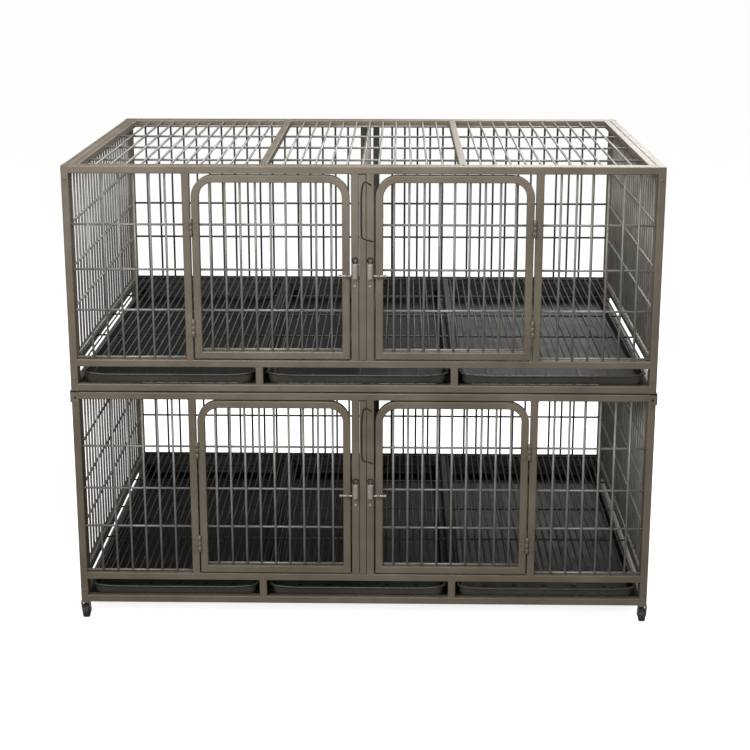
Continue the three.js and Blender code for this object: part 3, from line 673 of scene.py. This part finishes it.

# %% [markdown]
# ## Rod floor
# The animals stand on rods 16 mm apart, close enough for their feet and open enough for droppings.
# The rods lie on cross rods and on two tube runners. A flange under each runner hides the gap between
# two trays. Rods, runners and flanges are painted nearly black, as the shade under the floor. All the
# rods of one floor are one call, since a rod is a bar like any other.

# %% Floor grilles
FLOOR_PITCH = 16 * MM
FLOOR_CROSS = 5
FLANGE = 17 * MM
FLANGE_THICKNESS = 1.5 * MM
for tier in TIERS:
    node = f"floor_grille_{tier}"
    base = BASE[tier]
    low, high = span(node)
    rod = high[2] - base - FLOOR_TOP
    outline = circle(rod / 2)
    level = high[2] - rod / 2
    x0, x1 = low[0] + rod / 2, high[0] - rod / 2
    x = np.concatenate([[x0], spaced(x0, x1, FLOOR_PITCH), [x1]])
    y = np.linspace(low[1] + rod / 2, high[1] - rod / 2, FLOOR_CROSS)
    long_rods = np.stack([x, np.zeros(len(x)), np.full(len(x), level)], -1)
    cross_rods = np.stack([np.zeros(len(y)), y, np.full(len(y), level - rod * CROSS_SINK)], -1)
    reach_y, reach_x = np.array([0, high[1], 0]), np.array([high[0], 0, 0])
    # The rods take the nearly black copy of the wire coat, which is painted shade.
    skins = [bars(long_rods - reach_y, long_rods + reach_y, outline, "floor_rod", smooth=True),
             bars(cross_rods - reach_x, cross_rods + reach_x, outline, "floor_rod", smooth=True)]
    foot = base + FLOOR_RAIL_BOTTOM
    # Runners and flanges are painted nearly black, as the shade under the floor.
    skins += tubes([((at - TUBE / 2, low[1], foot), (at + TUBE / 2, high[1], base + FLOOR_TOP))
                    for at in TRAY_DIVIDER_X], "runner_coat")
    skins += [slab((at - FLANGE, low[1], foot), (at + FLANGE, high[1], foot + FLANGE_THICKNESS),
                   SHEET_EDGE, "runner_coat") for at in TRAY_DIVIDER_X]
    piece(node, skins, "cage")
print("floors:", made[-2:])

# %% [markdown]
# ## Divider
# A wire wall splits each module in two, and draws out forwards between the centre posts to make one
# long pen. Its front edge is a flat strip that shows between the posts, with a bent wire to hold it.

# %% Dividers
HOOK_CORNERS = np.array([(18, 22), (-3, 8), (-3, 128), (0, 134), (21, 140)]) * MM
HOOK_WIRE = 1.4 * MM
HOOK_STAND = 2 * MM
STRIP_HALF = TUBE / 2 - 2 * GAP
STRIP_EDGE = 1.2 * MM
NET_LIFT = 5 * MM
NET_BACK_GAP = 2 * MM
for tier in TIERS:
    node = f"divider_{tier}"
    floor, top = BASE[tier] + FLOOR_TOP, span(node)[1][2]
    front = -HALF_D + TUBE
    skins = [slab((-STRIP_HALF, -HALF_D, floor + TUCK), (STRIP_HALF, front, top),
                  STRIP_EDGE)]
    z0, z1 = floor + NET_LIFT + WIRE_RADIUS, top - WIRE_RADIUS
    places = np.concatenate([BASE[tier] + BACK_WIRE_HEIGHTS[1:], [z0, z1]])
    last = HALF_D - NET_BACK_GAP - WIRE_RADIUS
    uprights = np.append(spaced(front, last, WIRE_PITCH), last)
    skins += wire_net(uprights, places, (front - TUCK, last), (z0, z1), (1, 2, 0), 0, -1)
    depth = np.full(len(HOOK_CORNERS), -HALF_D - HOOK_STAND)
    hook = np.stack([HOOK_CORNERS[:, 0], depth, top - HOOK_CORNERS[:, 1]], -1)
    # The hook is nearly black, partly painted shade along the bent wire.
    skins.append(sweep(soften(hook), circle(HOOK_WIRE), (0, 1, 0), "bare_wire"))
    piece(node, skins, node)
print("dividers:", made[-2:])

# %% [markdown]
# ## Doors
# The door is one tube bent round the two upper corners, with square lower corners. Nine upright
# wires and four crossing wires fill it. It carries the middle knuckle and the wing of each hinge, and
# the collar that guides the bolt.

# %% Door frame path and hinge leaves
DOOR_CLEARANCE = 3 * MM
DOOR_CLEARANCE_Z = 2.5 * MM
DOOR_CORNER = 47 * MM
DOOR_WIRES = 9
DOOR_WIRE_PITCH = 31.6 * MM
DOOR_WIRE_HEIGHTS = np.array([92, 177, 265, 361]) * MM
DOOR_X = (CENTRE_POST_X + TUBE / 2 + DOOR_CLEARANCE, HINGE_POST_X - TUBE / 2 - DOOR_CLEARANCE)
DOOR_Z = (FLOOR_TOP + DOOR_CLEARANCE_Z, TOP_RAIL_BOTTOM - DOOR_CLEARANCE_Z)
BEND_STEPS = 14


def door_path(side, base):
    """Middle line of the door tube: two square lower corners and two quarter circles above."""
    x0, x1 = DOOR_X[0] + TUBE / 2, DOOR_X[1] - TUBE / 2
    z0, z1 = DOOR_Z[0] + TUBE / 2, DOOR_Z[1] - TUBE / 2
    radius = DOOR_CORNER - TUBE / 2
    angle = np.linspace(0, np.pi / 2, BEND_STEPS)
    right = np.stack([x1 - radius + radius * np.cos(angle), z1 - radius + radius * np.sin(angle)], -1)
    left = np.stack([x0 + radius - radius * np.sin(angle), z1 - radius + radius * np.cos(angle)], -1)
    flat = np.concatenate([[(x0, z0), (x1, z0)], right, left])
    return np.stack([side * flat[:, 0], np.full(len(flat), -HALF_D + TUBE / 2), base + flat[:, 1]], -1)


HINGE_PIVOT = {joint["child"]: np.array(joint["pos_m"]) for joint in frame["joints"]
               if joint["name"].startswith("door_hinge")}
KNUCKLE_RADIUS = 4 * MM
KNUCKLE = 12 * MM
LEAF = 2 * MM
LEAF_WIDTH = 12 * MM
LEAF_EDGE = 0.7 * MM
DOOR_LEAF = (5 * MM, 11 * MM)
POST_LEAF = (3.5 * MM, 10.5 * MM)


def knuckle(x, y, z0, z1):
    """A rolled hinge knuckle: a short cylinder with broken edges."""
    height = z1 - z0
    profile = np.array([(0, 0), (0.8, 0), (1, 0.06), (1, 0.94), (0.8, 1), (0, 1)]) * (KNUCKLE_RADIUS, height)
    return revolve(profile, (x, y, z0), (0, 0, 1), "powder_coat", sides=20)


def leaf(pivot_x, places, way, z):
    """A thin leaf to one side of the hinge line, from its near edge, with three rivets down it."""
    edge, rivet = (pivot_x + way * place for place in places)
    edges, face = sorted((edge, edge + way * LEAF_WIDTH)), -HALF_D - GAP - LEAF
    plate = slab((edges[0], face, z - 1.5 * KNUCKLE), (edges[1], -HALF_D - GAP / 2, z + 1.5 * KNUCKLE),
                 LEAF_EDGE)
    heads = [(rivet, face, z + step * KNUCKLE) for step in (-1, 0, 1)]
    return [plate, screws(heads, (0, -1, 0), profile=RIVET)]


print("doors span", DOOR_X, "hinge pivots", {name: at.tolist() for name, at in HINGE_PIVOT.items()})

# %% [markdown]
# ## Hanging the doors
# The tube, the wires, two knuckles with their leaves and the collar are all skins of one piece, so
# that they turn together. A small bridge joins each knuckle to its leaf, as one bent plate would.

# %% Doors
COLLAR = np.array([(3.3, -2.5), (5.2, -2.5), (5.6, -2.1), (5.6, 2.1), (5.2, 2.5), (3.3, 2.5)]) * MM
COLLAR_OFFSET = 17.5 * MM
COLLAR_HALF = 2.5 * MM
COLLAR_FOOT = 4 * MM
COLLAR_EDGE = 0.8 * MM
BRIDGE = 6 * MM
for tier in TIERS:
    base = BASE[tier]
    for name, side in SIDES.items():
        node = f"door_{name}_{tier}"
        pivot = HINGE_PIVOT[node]
        skins = [sweep(door_path(side, base), TUBE_OUTLINE, (0, 1, 0), "powder_coat",
                       closed=True, smooth=False)]
        places = side * sum(DOOR_X) / 2 + (np.arange(DOOR_WIRES) - DOOR_WIRES // 2) * DOOR_WIRE_PITCH
        inner = sorted((side * (DOOR_X[0] + TUBE - TUCK), side * (DOOR_X[1] - TUBE + TUCK)))
        skins += wire_net(places, base + DOOR_WIRE_HEIGHTS, inner,
                          (base + DOOR_Z[0] + TUBE - TUCK, base + DOOR_Z[1] - TUBE + TUCK), (0, 2, 1),
                          -HALF_D + TUBE / 2 - WIRE_RADIUS, 1)
        bridge = sorted((pivot[0], pivot[0] - side * BRIDGE))
        reach = KNUCKLE / 2 - GAP
        for level in ("bottom", "top"):
            z = sum(span(f"hinge_{name}_{level}_{tier}"))[2] / 2
            skins.append(knuckle(pivot[0], pivot[1], z - reach, z + reach))
            skins += leaf(pivot[0], DOOR_LEAF, -side, z)
            skins.append(slab((bridge[0], -HALF_D - GAP - LEAF, z - reach),
                              (bridge[1], -HALF_D - GAP, z + reach), SHEET_EDGE))
        _, y, z = sum(span(f"latch_bolt_{name}_{tier}")) / 2
        x = side * (CENTRE_POST_X + COLLAR_OFFSET)
        skins.append(revolve(COLLAR, (x, y, z), (1, 0, 0), "powder_coat", sides=20, closed=True))
        skins.append(slab((x - COLLAR_HALF, y + COLLAR_FOOT, z - COLLAR_FOOT),
                          (x + COLLAR_HALF, -HALF_D + TUCK, z + COLLAR_FOOT), COLLAR_EDGE))
        piece(node, skins, node)
print("doors:", made[-4:])

# %% [markdown]
# ## Hinges
# The fixed half of each hinge is a leaf on the post with two knuckles, and the pin runs through all
# three. The two knuckles leave room between them for the door's own.

# %% Fixed hinge halves
HINGE_PIN = np.array([(0, -19), (1.4, -19), (1.8, -18.4), (1.8, 18.4), (1.4, 19), (0, 19)]) * MM
for tier in TIERS:
    for name, side in SIDES.items():
        pivot = HINGE_PIVOT[f"door_{name}_{tier}"]
        for level in ("bottom", "top"):
            node = f"hinge_{name}_{level}_{tier}"
            z = sum(span(node))[2] / 2
            skins = [knuckle(pivot[0], pivot[1], z - 1.5 * KNUCKLE, z - KNUCKLE / 2),
                     knuckle(pivot[0], pivot[1], z + KNUCKLE / 2, z + 1.5 * KNUCKLE),
                     revolve(HINGE_PIN, (pivot[0], pivot[1], z), (0, 0, 1), "zinc", sides=12)]
            skins += leaf(pivot[0], POST_LEAF, side, z)
            piece(node, skins)
print("hinges:", made[-8:])

# %% [markdown]
# ## Latches
# A short barrel stands on each centre post. The door's bolt slides into it, and a pin with a finger
# ring drops through both, so that the door can't be pushed open. The bore for the pin is part of the
# barrel's turned profile. A profile can't give a hole across itself, so the bolt's hole and the fork
# in its end are cut.

# %% Cut holes
def carved(name, body, cutters):
    """The body less its cutters, as one new mesh, by Blender's exact Boolean."""
    objects = [bpy.data.objects.new(f"{name}_{i}", mesh_of(f"{name}_{i}", skins))
               for i, skins in enumerate([body] + cutters)]
    for obj in objects:
        bpy.context.scene.collection.objects.link(obj)
    for cutter in objects[1:]:
        step = objects[0].modifiers.new("cut", "BOOLEAN")
        step.operation, step.solver, step.object = "DIFFERENCE", "EXACT", cutter
    bpy.context.view_layer.update()
    graph = bpy.context.evaluated_depsgraph_get()
    result = bpy.data.meshes.new_from_object(objects[0].evaluated_get(graph))
    for obj in objects:
        bpy.data.objects.remove(obj)
    result.name = name
    return result


def carved_piece(node, body, cutters, frame_body="cage"):
    """A carved mesh that stands for one solid."""
    name = f"{node}.visible"
    obj = bpy.data.objects.new(name, carved(name, body, cutters))
    bpy.context.scene.collection.objects.link(obj)
    return declare(obj, node, frame_body)


# %% Latch sizes
EDGE = 1 * MM
PIN_BORE = 1.9 * MM
PIN_BORE_LEAD = 0.6 * MM
BARREL_FLOOR = 2 * MM
CROSS_HOLE = np.array([(0, 0), (3.3, 0), (3.3, 10.8), (0, 10.8)]) * MM
CROSS_HOLE_START = 3.5 * MM
BOLT_TIP = np.array([(0, 0), (2.2, 0), (3, 0.8)]) * MM
BOLT_KNOB = np.array([(3, -6), (2.4, -5), (3.8, -4), (4, -1), (3, 0), (0, 0)]) * MM
FORK = np.array([3.5, 1.9, 6]) * MM
FORK_MIDDLE = 2.5 * MM
FORK_EDGE = 0.3 * MM
PIN_TIP = np.array([(0, 0), (1, 0), (1.6, 0.8)]) * MM
RING = 5.8 * MM
RING_WIRE = 1.3 * MM
RING_STEPS = 28
print("bolt's fork, half sizes:", FORK)

# %% Barrels, bolts and lift pins
for tier in TIERS:
    for name, side in SIDES.items():
        low, high = span(f"latch_barrel_{name}_{tier}")
        x, y = (low[:2] + high[:2]) / 2
        radius, height = (high[0] - low[0]) / 2, high[2] - low[2]
        bolt_low, bolt_high = span(f"latch_bolt_{name}_{tier}")
        z = (bolt_low[2] + bolt_high[2]) / 2
        profile = [(0, 0), (radius - EDGE, 0), (radius, EDGE), (radius, height - EDGE),
                   (radius - EDGE, height), (PIN_BORE + PIN_BORE_LEAD, height),
                   (PIN_BORE, height - PIN_BORE_LEAD),
                   (PIN_BORE, BARREL_FLOOR), (0, BARREL_FLOOR)]
        # The barrel takes the lighter copy of the coat: light from above painted into its colour.
        barrel = revolve(profile, (x, y, low[2]), (0, 0, 1), "latch_coat", sides=28, smooth=False)
        hole = revolve(CROSS_HOLE, (x - side * CROSS_HOLE_START, y, z), (side, 0, 0), "latch_coat",
                       sides=20, smooth=False)
        carved_piece(f"latch_barrel_{name}_{tier}", [barrel], [[hole]])
        length = bolt_high[0] - bolt_low[0]
        tip = np.array([bolt_low[0] if side > 0 else bolt_high[0], y, z])
        rod = np.concatenate([BOLT_TIP, BOLT_KNOB + (0, length)])
        bolt = revolve(rod, tip, (side, 0, 0), "zinc", sides=20, smooth=False)
        middle = tip + (side * FORK_MIDDLE, 0, 0)
        fork = slab(middle - FORK, middle + FORK, FORK_EDGE, "zinc")
        carved_piece(f"latch_bolt_{name}_{tier}", [bolt], [[fork]], f"latch_bolt_{name}_{tier}")
        pin_low, pin_high = span(f"latch_pin_{name}_{tier}")
        ring_z = pin_high[2] - RING - RING_WIRE
        shank = ring_z - RING - pin_low[2]
        shaft = np.concatenate([PIN_TIP, [(PIN_TIP[-1, 0], shank), (0, shank)]])
        turn = circle(RING, RING_STEPS)
        path = np.stack([x + turn[:, 0], np.full(RING_STEPS, y), ring_z + turn[:, 1]], -1)
        # The ring is nearly black, partly painted shade.
        skins = [revolve(shaft, (x, y, pin_low[2]), (0, 0, 1), "zinc", sides=12),
                 sweep(path, circle(RING_WIRE), (0, 1, 0), "bare_wire", closed=True)]
        piece(f"latch_pin_{name}_{tier}", skins, f"latch_pin_{name}_{tier}")
print("latches:", made[-12:])

# %% [markdown]
# ## Trays
# The trays are vacuum formed: a thin sheet is drawn over a mould, so the walls lean, every edge is
# rounded, and the rim rolls over. The heat pulls the rim up a little at the corners. A tray is one
# loft: rounded rectangles follow a profile from the underside, over the rim and down to the floor.

# %% Tray loft
TRAY_CORNER = 22 * MM
TRAY_LIFT = 4 * MM
TRAY_LIFT_REACH = 46 * MM
# each row: inset from the rim's edge in mm, share of the tray's height, and mm added to that height
TRAY_PROFILE = [(13, 0, 0), (10.2, 0, 0.4), (8.6, 0, 2.0), (7.2, 0.30, 0), (5.8, 0.62, 0),
                (4.8, 0.86, -1.2), (4.2, 1, -3.0), (3.2, 1, -2.2), (1.2, 1, -2.4), (0.4, 1, -3.2),
                (0, 1, -2.4), (0, 1, -1.2), (0.7, 1, -0.3), (2.2, 1, 0), (4.6, 1, 0), (6.2, 1, -0.7),
                (7.0, 1, -2.2), (8.2, 0.62, 0), (9.8, 0.30, 0), (11.2, 0.10, 1.6), (13, 0, 2.2),
                (15, 0, 2.0)]
TRAY_RIM_END = 15
TRAY_SIDE_STEPS = 10


def tray_ring(low, high, inset):
    """A rounded rectangle with points along its sides too, so that the rim can rise at its ends."""
    width, depth = high[0] - low[0] - 2 * inset, high[1] - low[1] - 2 * inset
    radius = TRAY_CORNER - 0.6 * min(inset, TRAY_CORNER - 4 * MM)
    corners = rounded_rectangle(width, depth, radius, 8).reshape(4, 8, 2)
    share = ((1 - np.cos(np.pi * np.arange(1, TRAY_SIDE_STEPS) / TRAY_SIDE_STEPS)) / 2)[None, :, None]
    sides = corners[:, -1][:, None] * (1 - share) + np.roll(corners[:, 0], -1, 0)[:, None] * share
    return np.concatenate([corners, sides], 1).reshape(-1, 2) + (np.array(low[:2]) + high[:2]) / 2


def tray_skin(low, high):
    """Point = ring(inset) at height(profile), plus a lift that fades along the rim from each corner."""
    height = high[2] - TRAY_LIFT - low[2]
    rings = []
    for inset, share, extra in TRAY_PROFILE:
        ring = tray_ring(low, high, inset * MM)
        z = low[2] + share * height + extra * MM
        corner = np.minimum(ring[:, 0] - low[0], high[0] - ring[:, 0]) + \
            np.minimum(ring[:, 1] - low[1], high[1] - ring[:, 1])
        fade = np.clip(1 - (corner - 13 * MM) / TRAY_LIFT_REACH, 0, 1) ** 1.5
        rings.append(np.column_stack([ring, z + share * TRAY_LIFT * fade]))
    points = np.array(rings)
    rows, size = points.shape[:2]
    ring = np.arange(size)
    walls = grid_faces(rows, size)
    outside = TRAY_RIM_END * size
    faces = [walls[:outside], walls[outside:], ring[None, ::-1], ring[None] + (rows - 1) * size]
    # The rim and outer wall take the tray plastic; the basin and its floor take the darker copy, which is
    # painted shade.
    return skin(points, faces, ["tray_plastic", "tray_basin", "tray_plastic", "tray_basin"], True)


# %% Trays
TRAY_RIBS = 5
RIB_HALF = 5 * MM
RIB_INSET = 60 * MM
RIB_FOOT, RIB_TOP = 1 * MM, 3.4 * MM
RIB_EDGE = 1.1 * MM
for tier in TIERS:
    for name in ("left", "middle", "right"):
        node = f"tray_{name}_{tier}"
        low, high = span(node)
        y0, y1 = low[1] + RIB_INSET, high[1] - RIB_INSET
        # The ribs take the basin's painted shade too.
        skins = [slab((x - RIB_HALF, y0, low[2] + RIB_FOOT), (x + RIB_HALF, y1, low[2] + RIB_TOP),
                      RIB_EDGE, "tray_basin") for x in np.linspace(low[0], high[0], TRAY_RIBS + 2)[1:-1]]
        piece(node, [tray_skin(low, high)] + skins, node)
print("trays:", made[-6:])

# %% [markdown]
# ## Stacking corners
# A bent steel corner wraps the top of each lower post, and its peg enters the post above, so the
# upper module can't slide off. It stands two millimetres proud of the tube, which shows as a slight
# step and a dark line. Three overlapping slabs and a turned peg are enough for a pressing this small.

# %% Stacking corners
SKIRT = 22 * MM
PLATE = 2 * MM
PLATE_EDGE = 0.8 * MM
PEG = np.array([(0, -1), (5, -1), (5, 10.5), (3.6, 12), (0, 12)]) * MM
lower_top = BASE["lower"] + TIER_HEIGHT
for end, way in {"front": -1, "back": 1}.items():
    for name, side in SIDES.items():
        node = f"stacking_corner_{end}_{name}"
        x_out, y_out = side * (HALF_W + GAP + PLATE), way * (HALF_D + GAP + PLATE)
        x_in, y_in = side * (HALF_W - TUBE), way * (HALF_D - TUBE)
        face_x, face_y = side * (HALF_W + GAP), way * (HALF_D + GAP)
        z0, z1 = lower_top - SKIRT, lower_top + GAP + PLATE
        corners = [((x_in, y_in, lower_top + GAP), (x_out, y_out, z1)),
                   ((face_x, y_in, z0), (x_out, y_out, z1)), ((x_in, face_y, z0), (x_out, y_out, z1))]
        skins = [slab(np.minimum(a, b), np.maximum(a, b), PLATE_EDGE) for a, b in corners]
        centre = (side * (HALF_W - TUBE / 2), way * (HALF_D - TUBE / 2))
        skins.append(revolve(PEG, (*centre, z1), (0, 0, 1), "powder_coat", sides=16, smooth=False))
        middle = (z0 + lower_top) / 2
        skins.append(screws((centre[0], y_out, middle), (0, way, 0), "wheel_plastic"))
        skins.append(screws((x_out, centre[1], middle), (side, 0, 0), "wheel_plastic"))
        piece(node, skins)
print("stacking corners:", made[-4:])

# %% [markdown]
# ## Casters
# Small swivel casters stand under the corner posts. A pressed fork hangs from a stem in the post, and
# the wheel trails behind it. The wheel has a raised tread with a groove, and a recessed web. A fork
# leg is flat plate, so it is an outline pushed straight through its thickness.

# %% Caster forks and wheels
def pressed(outline, push, finish):
    """A flat outline of points pushed along a vector; the outline turns anticlockwise round it."""
    outline, push = np.asarray(outline, float), np.asarray(push, float)
    centre = outline.mean(0)
    swept = np.cross(outline - centre, np.roll(outline, -1, 0) - centre).sum(0)
    if np.dot(swept, push) < 0:
        outline = outline[::-1]
    size = len(outline)
    ring = np.arange(size)
    faces = [grid_faces(2, size), ring[None, ::-1], ring[None] + size]
    return skin(np.stack([outline, outline + push]), faces, finish)


WHEEL_PROFILE = np.array([(2.8, -6.5), (6.4, -6.5), (7.2, -4.4), (12.0, -4.4), (12.8, -6.1),
                          (14.6, -6.5), (15.7, -5.6), (16, -4.2), (16, -0.9), (15.4, -0.3),
                          (15.4, 0.3), (16, 0.9), (16, 4.2), (15.7, 5.6), (14.6, 6.5), (12.8, 6.1),
                          (12.0, 4.4), (7.2, 4.4), (6.4, 6.5), (2.8, 6.5)]) * MM
LEG_FOOT = np.array([(-4, -2), (-2, -4), (2, -4), (4, -1), (5, 2)]) * MM
LEG_HEAD = np.array([(6, 1), (-6, 1), (-6, 0)]) * MM
AXLE_ROD = np.array([(0, -1), (1.6, -1), (2.5, -0.55), (2.5, 0.55), (1.6, 1), (0, 1)])
STEM = np.array([(0, -1), (4.6, -1), (4.6, 14), (0, 14)]) * MM
FORK_PLATE = 3 * MM
FORK_HALF = 6 * MM
FORK_LEG = 2 * MM
FORK_EASE = 1.2 * MM
CASTER_EDGE = 1.2 * MM
for end, way in {"front": -1, "back": 1}.items():
    for name, side in SIDES.items():
        low, high = span(f"caster_wheel_{end}_{name}")
        axle = (low + high) / 2
        wheel = revolve(WHEEL_PROFILE, axle, (1, 0, 0), "wheel_plastic", sides=40, closed=True, smooth=False)
        piece(f"caster_wheel_{end}_{name}", [wheel], f"caster_wheel_{end}_{name}")
        node = f"caster_fork_{end}_{name}"
        x, y = side * (HALF_W - TUBE / 2), way * (HALF_D - TUBE / 2)
        top = BASE["lower"] - GAP
        inner = (high[0] - low[0]) / 2 + FORK_EASE
        reach = inner + FORK_LEG
        skins = [slab((x - reach, y - FORK_HALF, top - FORK_PLATE), (x + reach, y + FORK_HALF, top),
                      CASTER_EDGE, "zinc")]
        leg = np.concatenate([LEG_HEAD[-1:] + (y, top - FORK_PLATE), LEG_FOOT + axle[1:],
                              LEG_HEAD[:-1] + (y, top - FORK_PLATE)])
        for turn in (-1, 1):
            outline = np.column_stack([np.full(len(leg), x + turn * inner), leg])
            skins.append(pressed(outline, (turn * FORK_LEG, 0, 0), "zinc"))
        skins.append(revolve(AXLE_ROD * (MM, reach + TUCK), (x, *axle[1:]), (1, 0, 0), "zinc", sides=14))
        skins.append(revolve(STEM, (x, y, top), (0, 0, 1), "zinc", sides=14, smooth=False))
        piece(node, skins, node)
print("casters:", made[-8:])

# %% [markdown]
# ## Floor of the studio
# A wide pale disc stands for the studio floor. It is matt and glows a little, so that it is nearly
# white and still takes the cage's soft shadow. It sends no light into the cage and isn't mirrored in
# it, because the lamps alone should shape the tubes.

# %% Studio floor
floor_finish = new_finish("studio_floor", [(0.76, 0.76, 0.76), (0.78, 0.78, 0.78), (0.80, 0.80, 0.80)],
                          2, (0.75, 0.85), 60, 0.1 * MM)
floor_shader = floor_finish.node_tree.nodes["Principled BSDF"]
floor_shader.inputs["Emission Color"].default_value = (1, 1, 1, 1)
floor_shader.inputs["Emission Strength"].default_value = 0.84
STAGE_RADIUS = 40.0
STAGE_DEPTH = 0.02
stage_profile = np.array([(0, -STAGE_DEPTH), (STAGE_RADIUS, -STAGE_DEPTH), (STAGE_RADIUS, 0), (0, 0)])
stage = bpy.data.objects.new("studio_floor", mesh_of("studio_floor", [
    revolve(stage_profile, (0, 0, 0), (0, 0, 1), "studio_floor", sides=96, smooth=False)]))
bpy.context.scene.collection.objects.link(stage)
stage.visible_diffuse = False
stage.visible_glossy = False
print("stage radius", STAGE_RADIUS)

# %% [markdown]
# ## Camera and light
# The camera stands a little above the roof, nearly square to the front. The light is plain and soft:
# one broad lamp in front, one above and one behind, and a pale surrounding light.

# %% Camera
camera_data = bpy.data.cameras.new("camera")
camera_data.sensor_width = 36
camera_data.lens = 75.9
camera_data.shift_x = 0.0037
camera_data.shift_y = -0.0574
camera_data.clip_end = 200
camera = bpy.data.objects.new("camera", camera_data)
camera.location = (0.0788, -3.6451, 1.4987)
camera.rotation_euler = (math.radians(90 - 14.48), 0, math.radians(1.04))
bpy.context.scene.collection.objects.link(camera)
bpy.context.scene.camera = camera
print("camera at", tuple(camera.location))

# %% Lamps and surroundings
def lamp(name, place, aim, size, power):
    """A broad soft lamp that faces its aim."""
    data = bpy.data.lights.new(name, "AREA")
    data.shape = "RECTANGLE"
    data.size, data.size_y = size
    data.energy = power
    obj = bpy.data.objects.new(name, data)
    obj.location = place
    towards = np.subtract(aim, place)
    obj.rotation_euler = (math.atan2(math.hypot(towards[0], towards[1]), -towards[2]), 0,
                          math.atan2(towards[1], towards[0]) - math.pi / 2)
    obj.visible_camera = False
    bpy.context.scene.collection.objects.link(obj)


lamp("front_lamp", (-0.5, -2.6, 1.6), (0, -0.4, 0.5), (2.0, 1.2), 49)
lamp("top_lamp", (0, -0.1, 2.6), (0, 0, 0.9), (2.2, 1.6), 48)
lamp("back_lamp", (1.0, 2.4, 2.2), (0, 0.3, 0.5), (1.6, 1.2), 36)
world = bpy.data.worlds.new("studio")
world.use_nodes = True
nodes, links = world.node_tree.nodes, world.node_tree.links
surroundings = nodes["Background"]
surroundings.inputs["Color"].default_value = (1, 0.99, 0.97, 1)
surroundings.inputs["Strength"].default_value = 0.18
backdrop = nodes.new("ShaderNodeBackground")
backdrop.inputs["Color"].default_value = (1, 1, 1, 1)
seen = nodes.new("ShaderNodeLightPath").outputs["Is Camera Ray"]
choice = nodes.new("ShaderNodeMixShader")
links.new(seen, choice.inputs["Fac"])
links.new(surroundings.outputs["Background"], choice.inputs[1])
links.new(backdrop.outputs["Background"], choice.inputs[2])
links.new(choice.outputs["Shader"], nodes["World Output"].inputs["Surface"])
bpy.context.scene.world = world
bpy.context.scene.view_settings.view_transform = "Standard"

# %% [markdown]
# The script ends by counting the pieces and their faces.

# %% Count the pieces and their faces
print("pieces:", len(made), "faces:", sum(count for _, count in made))
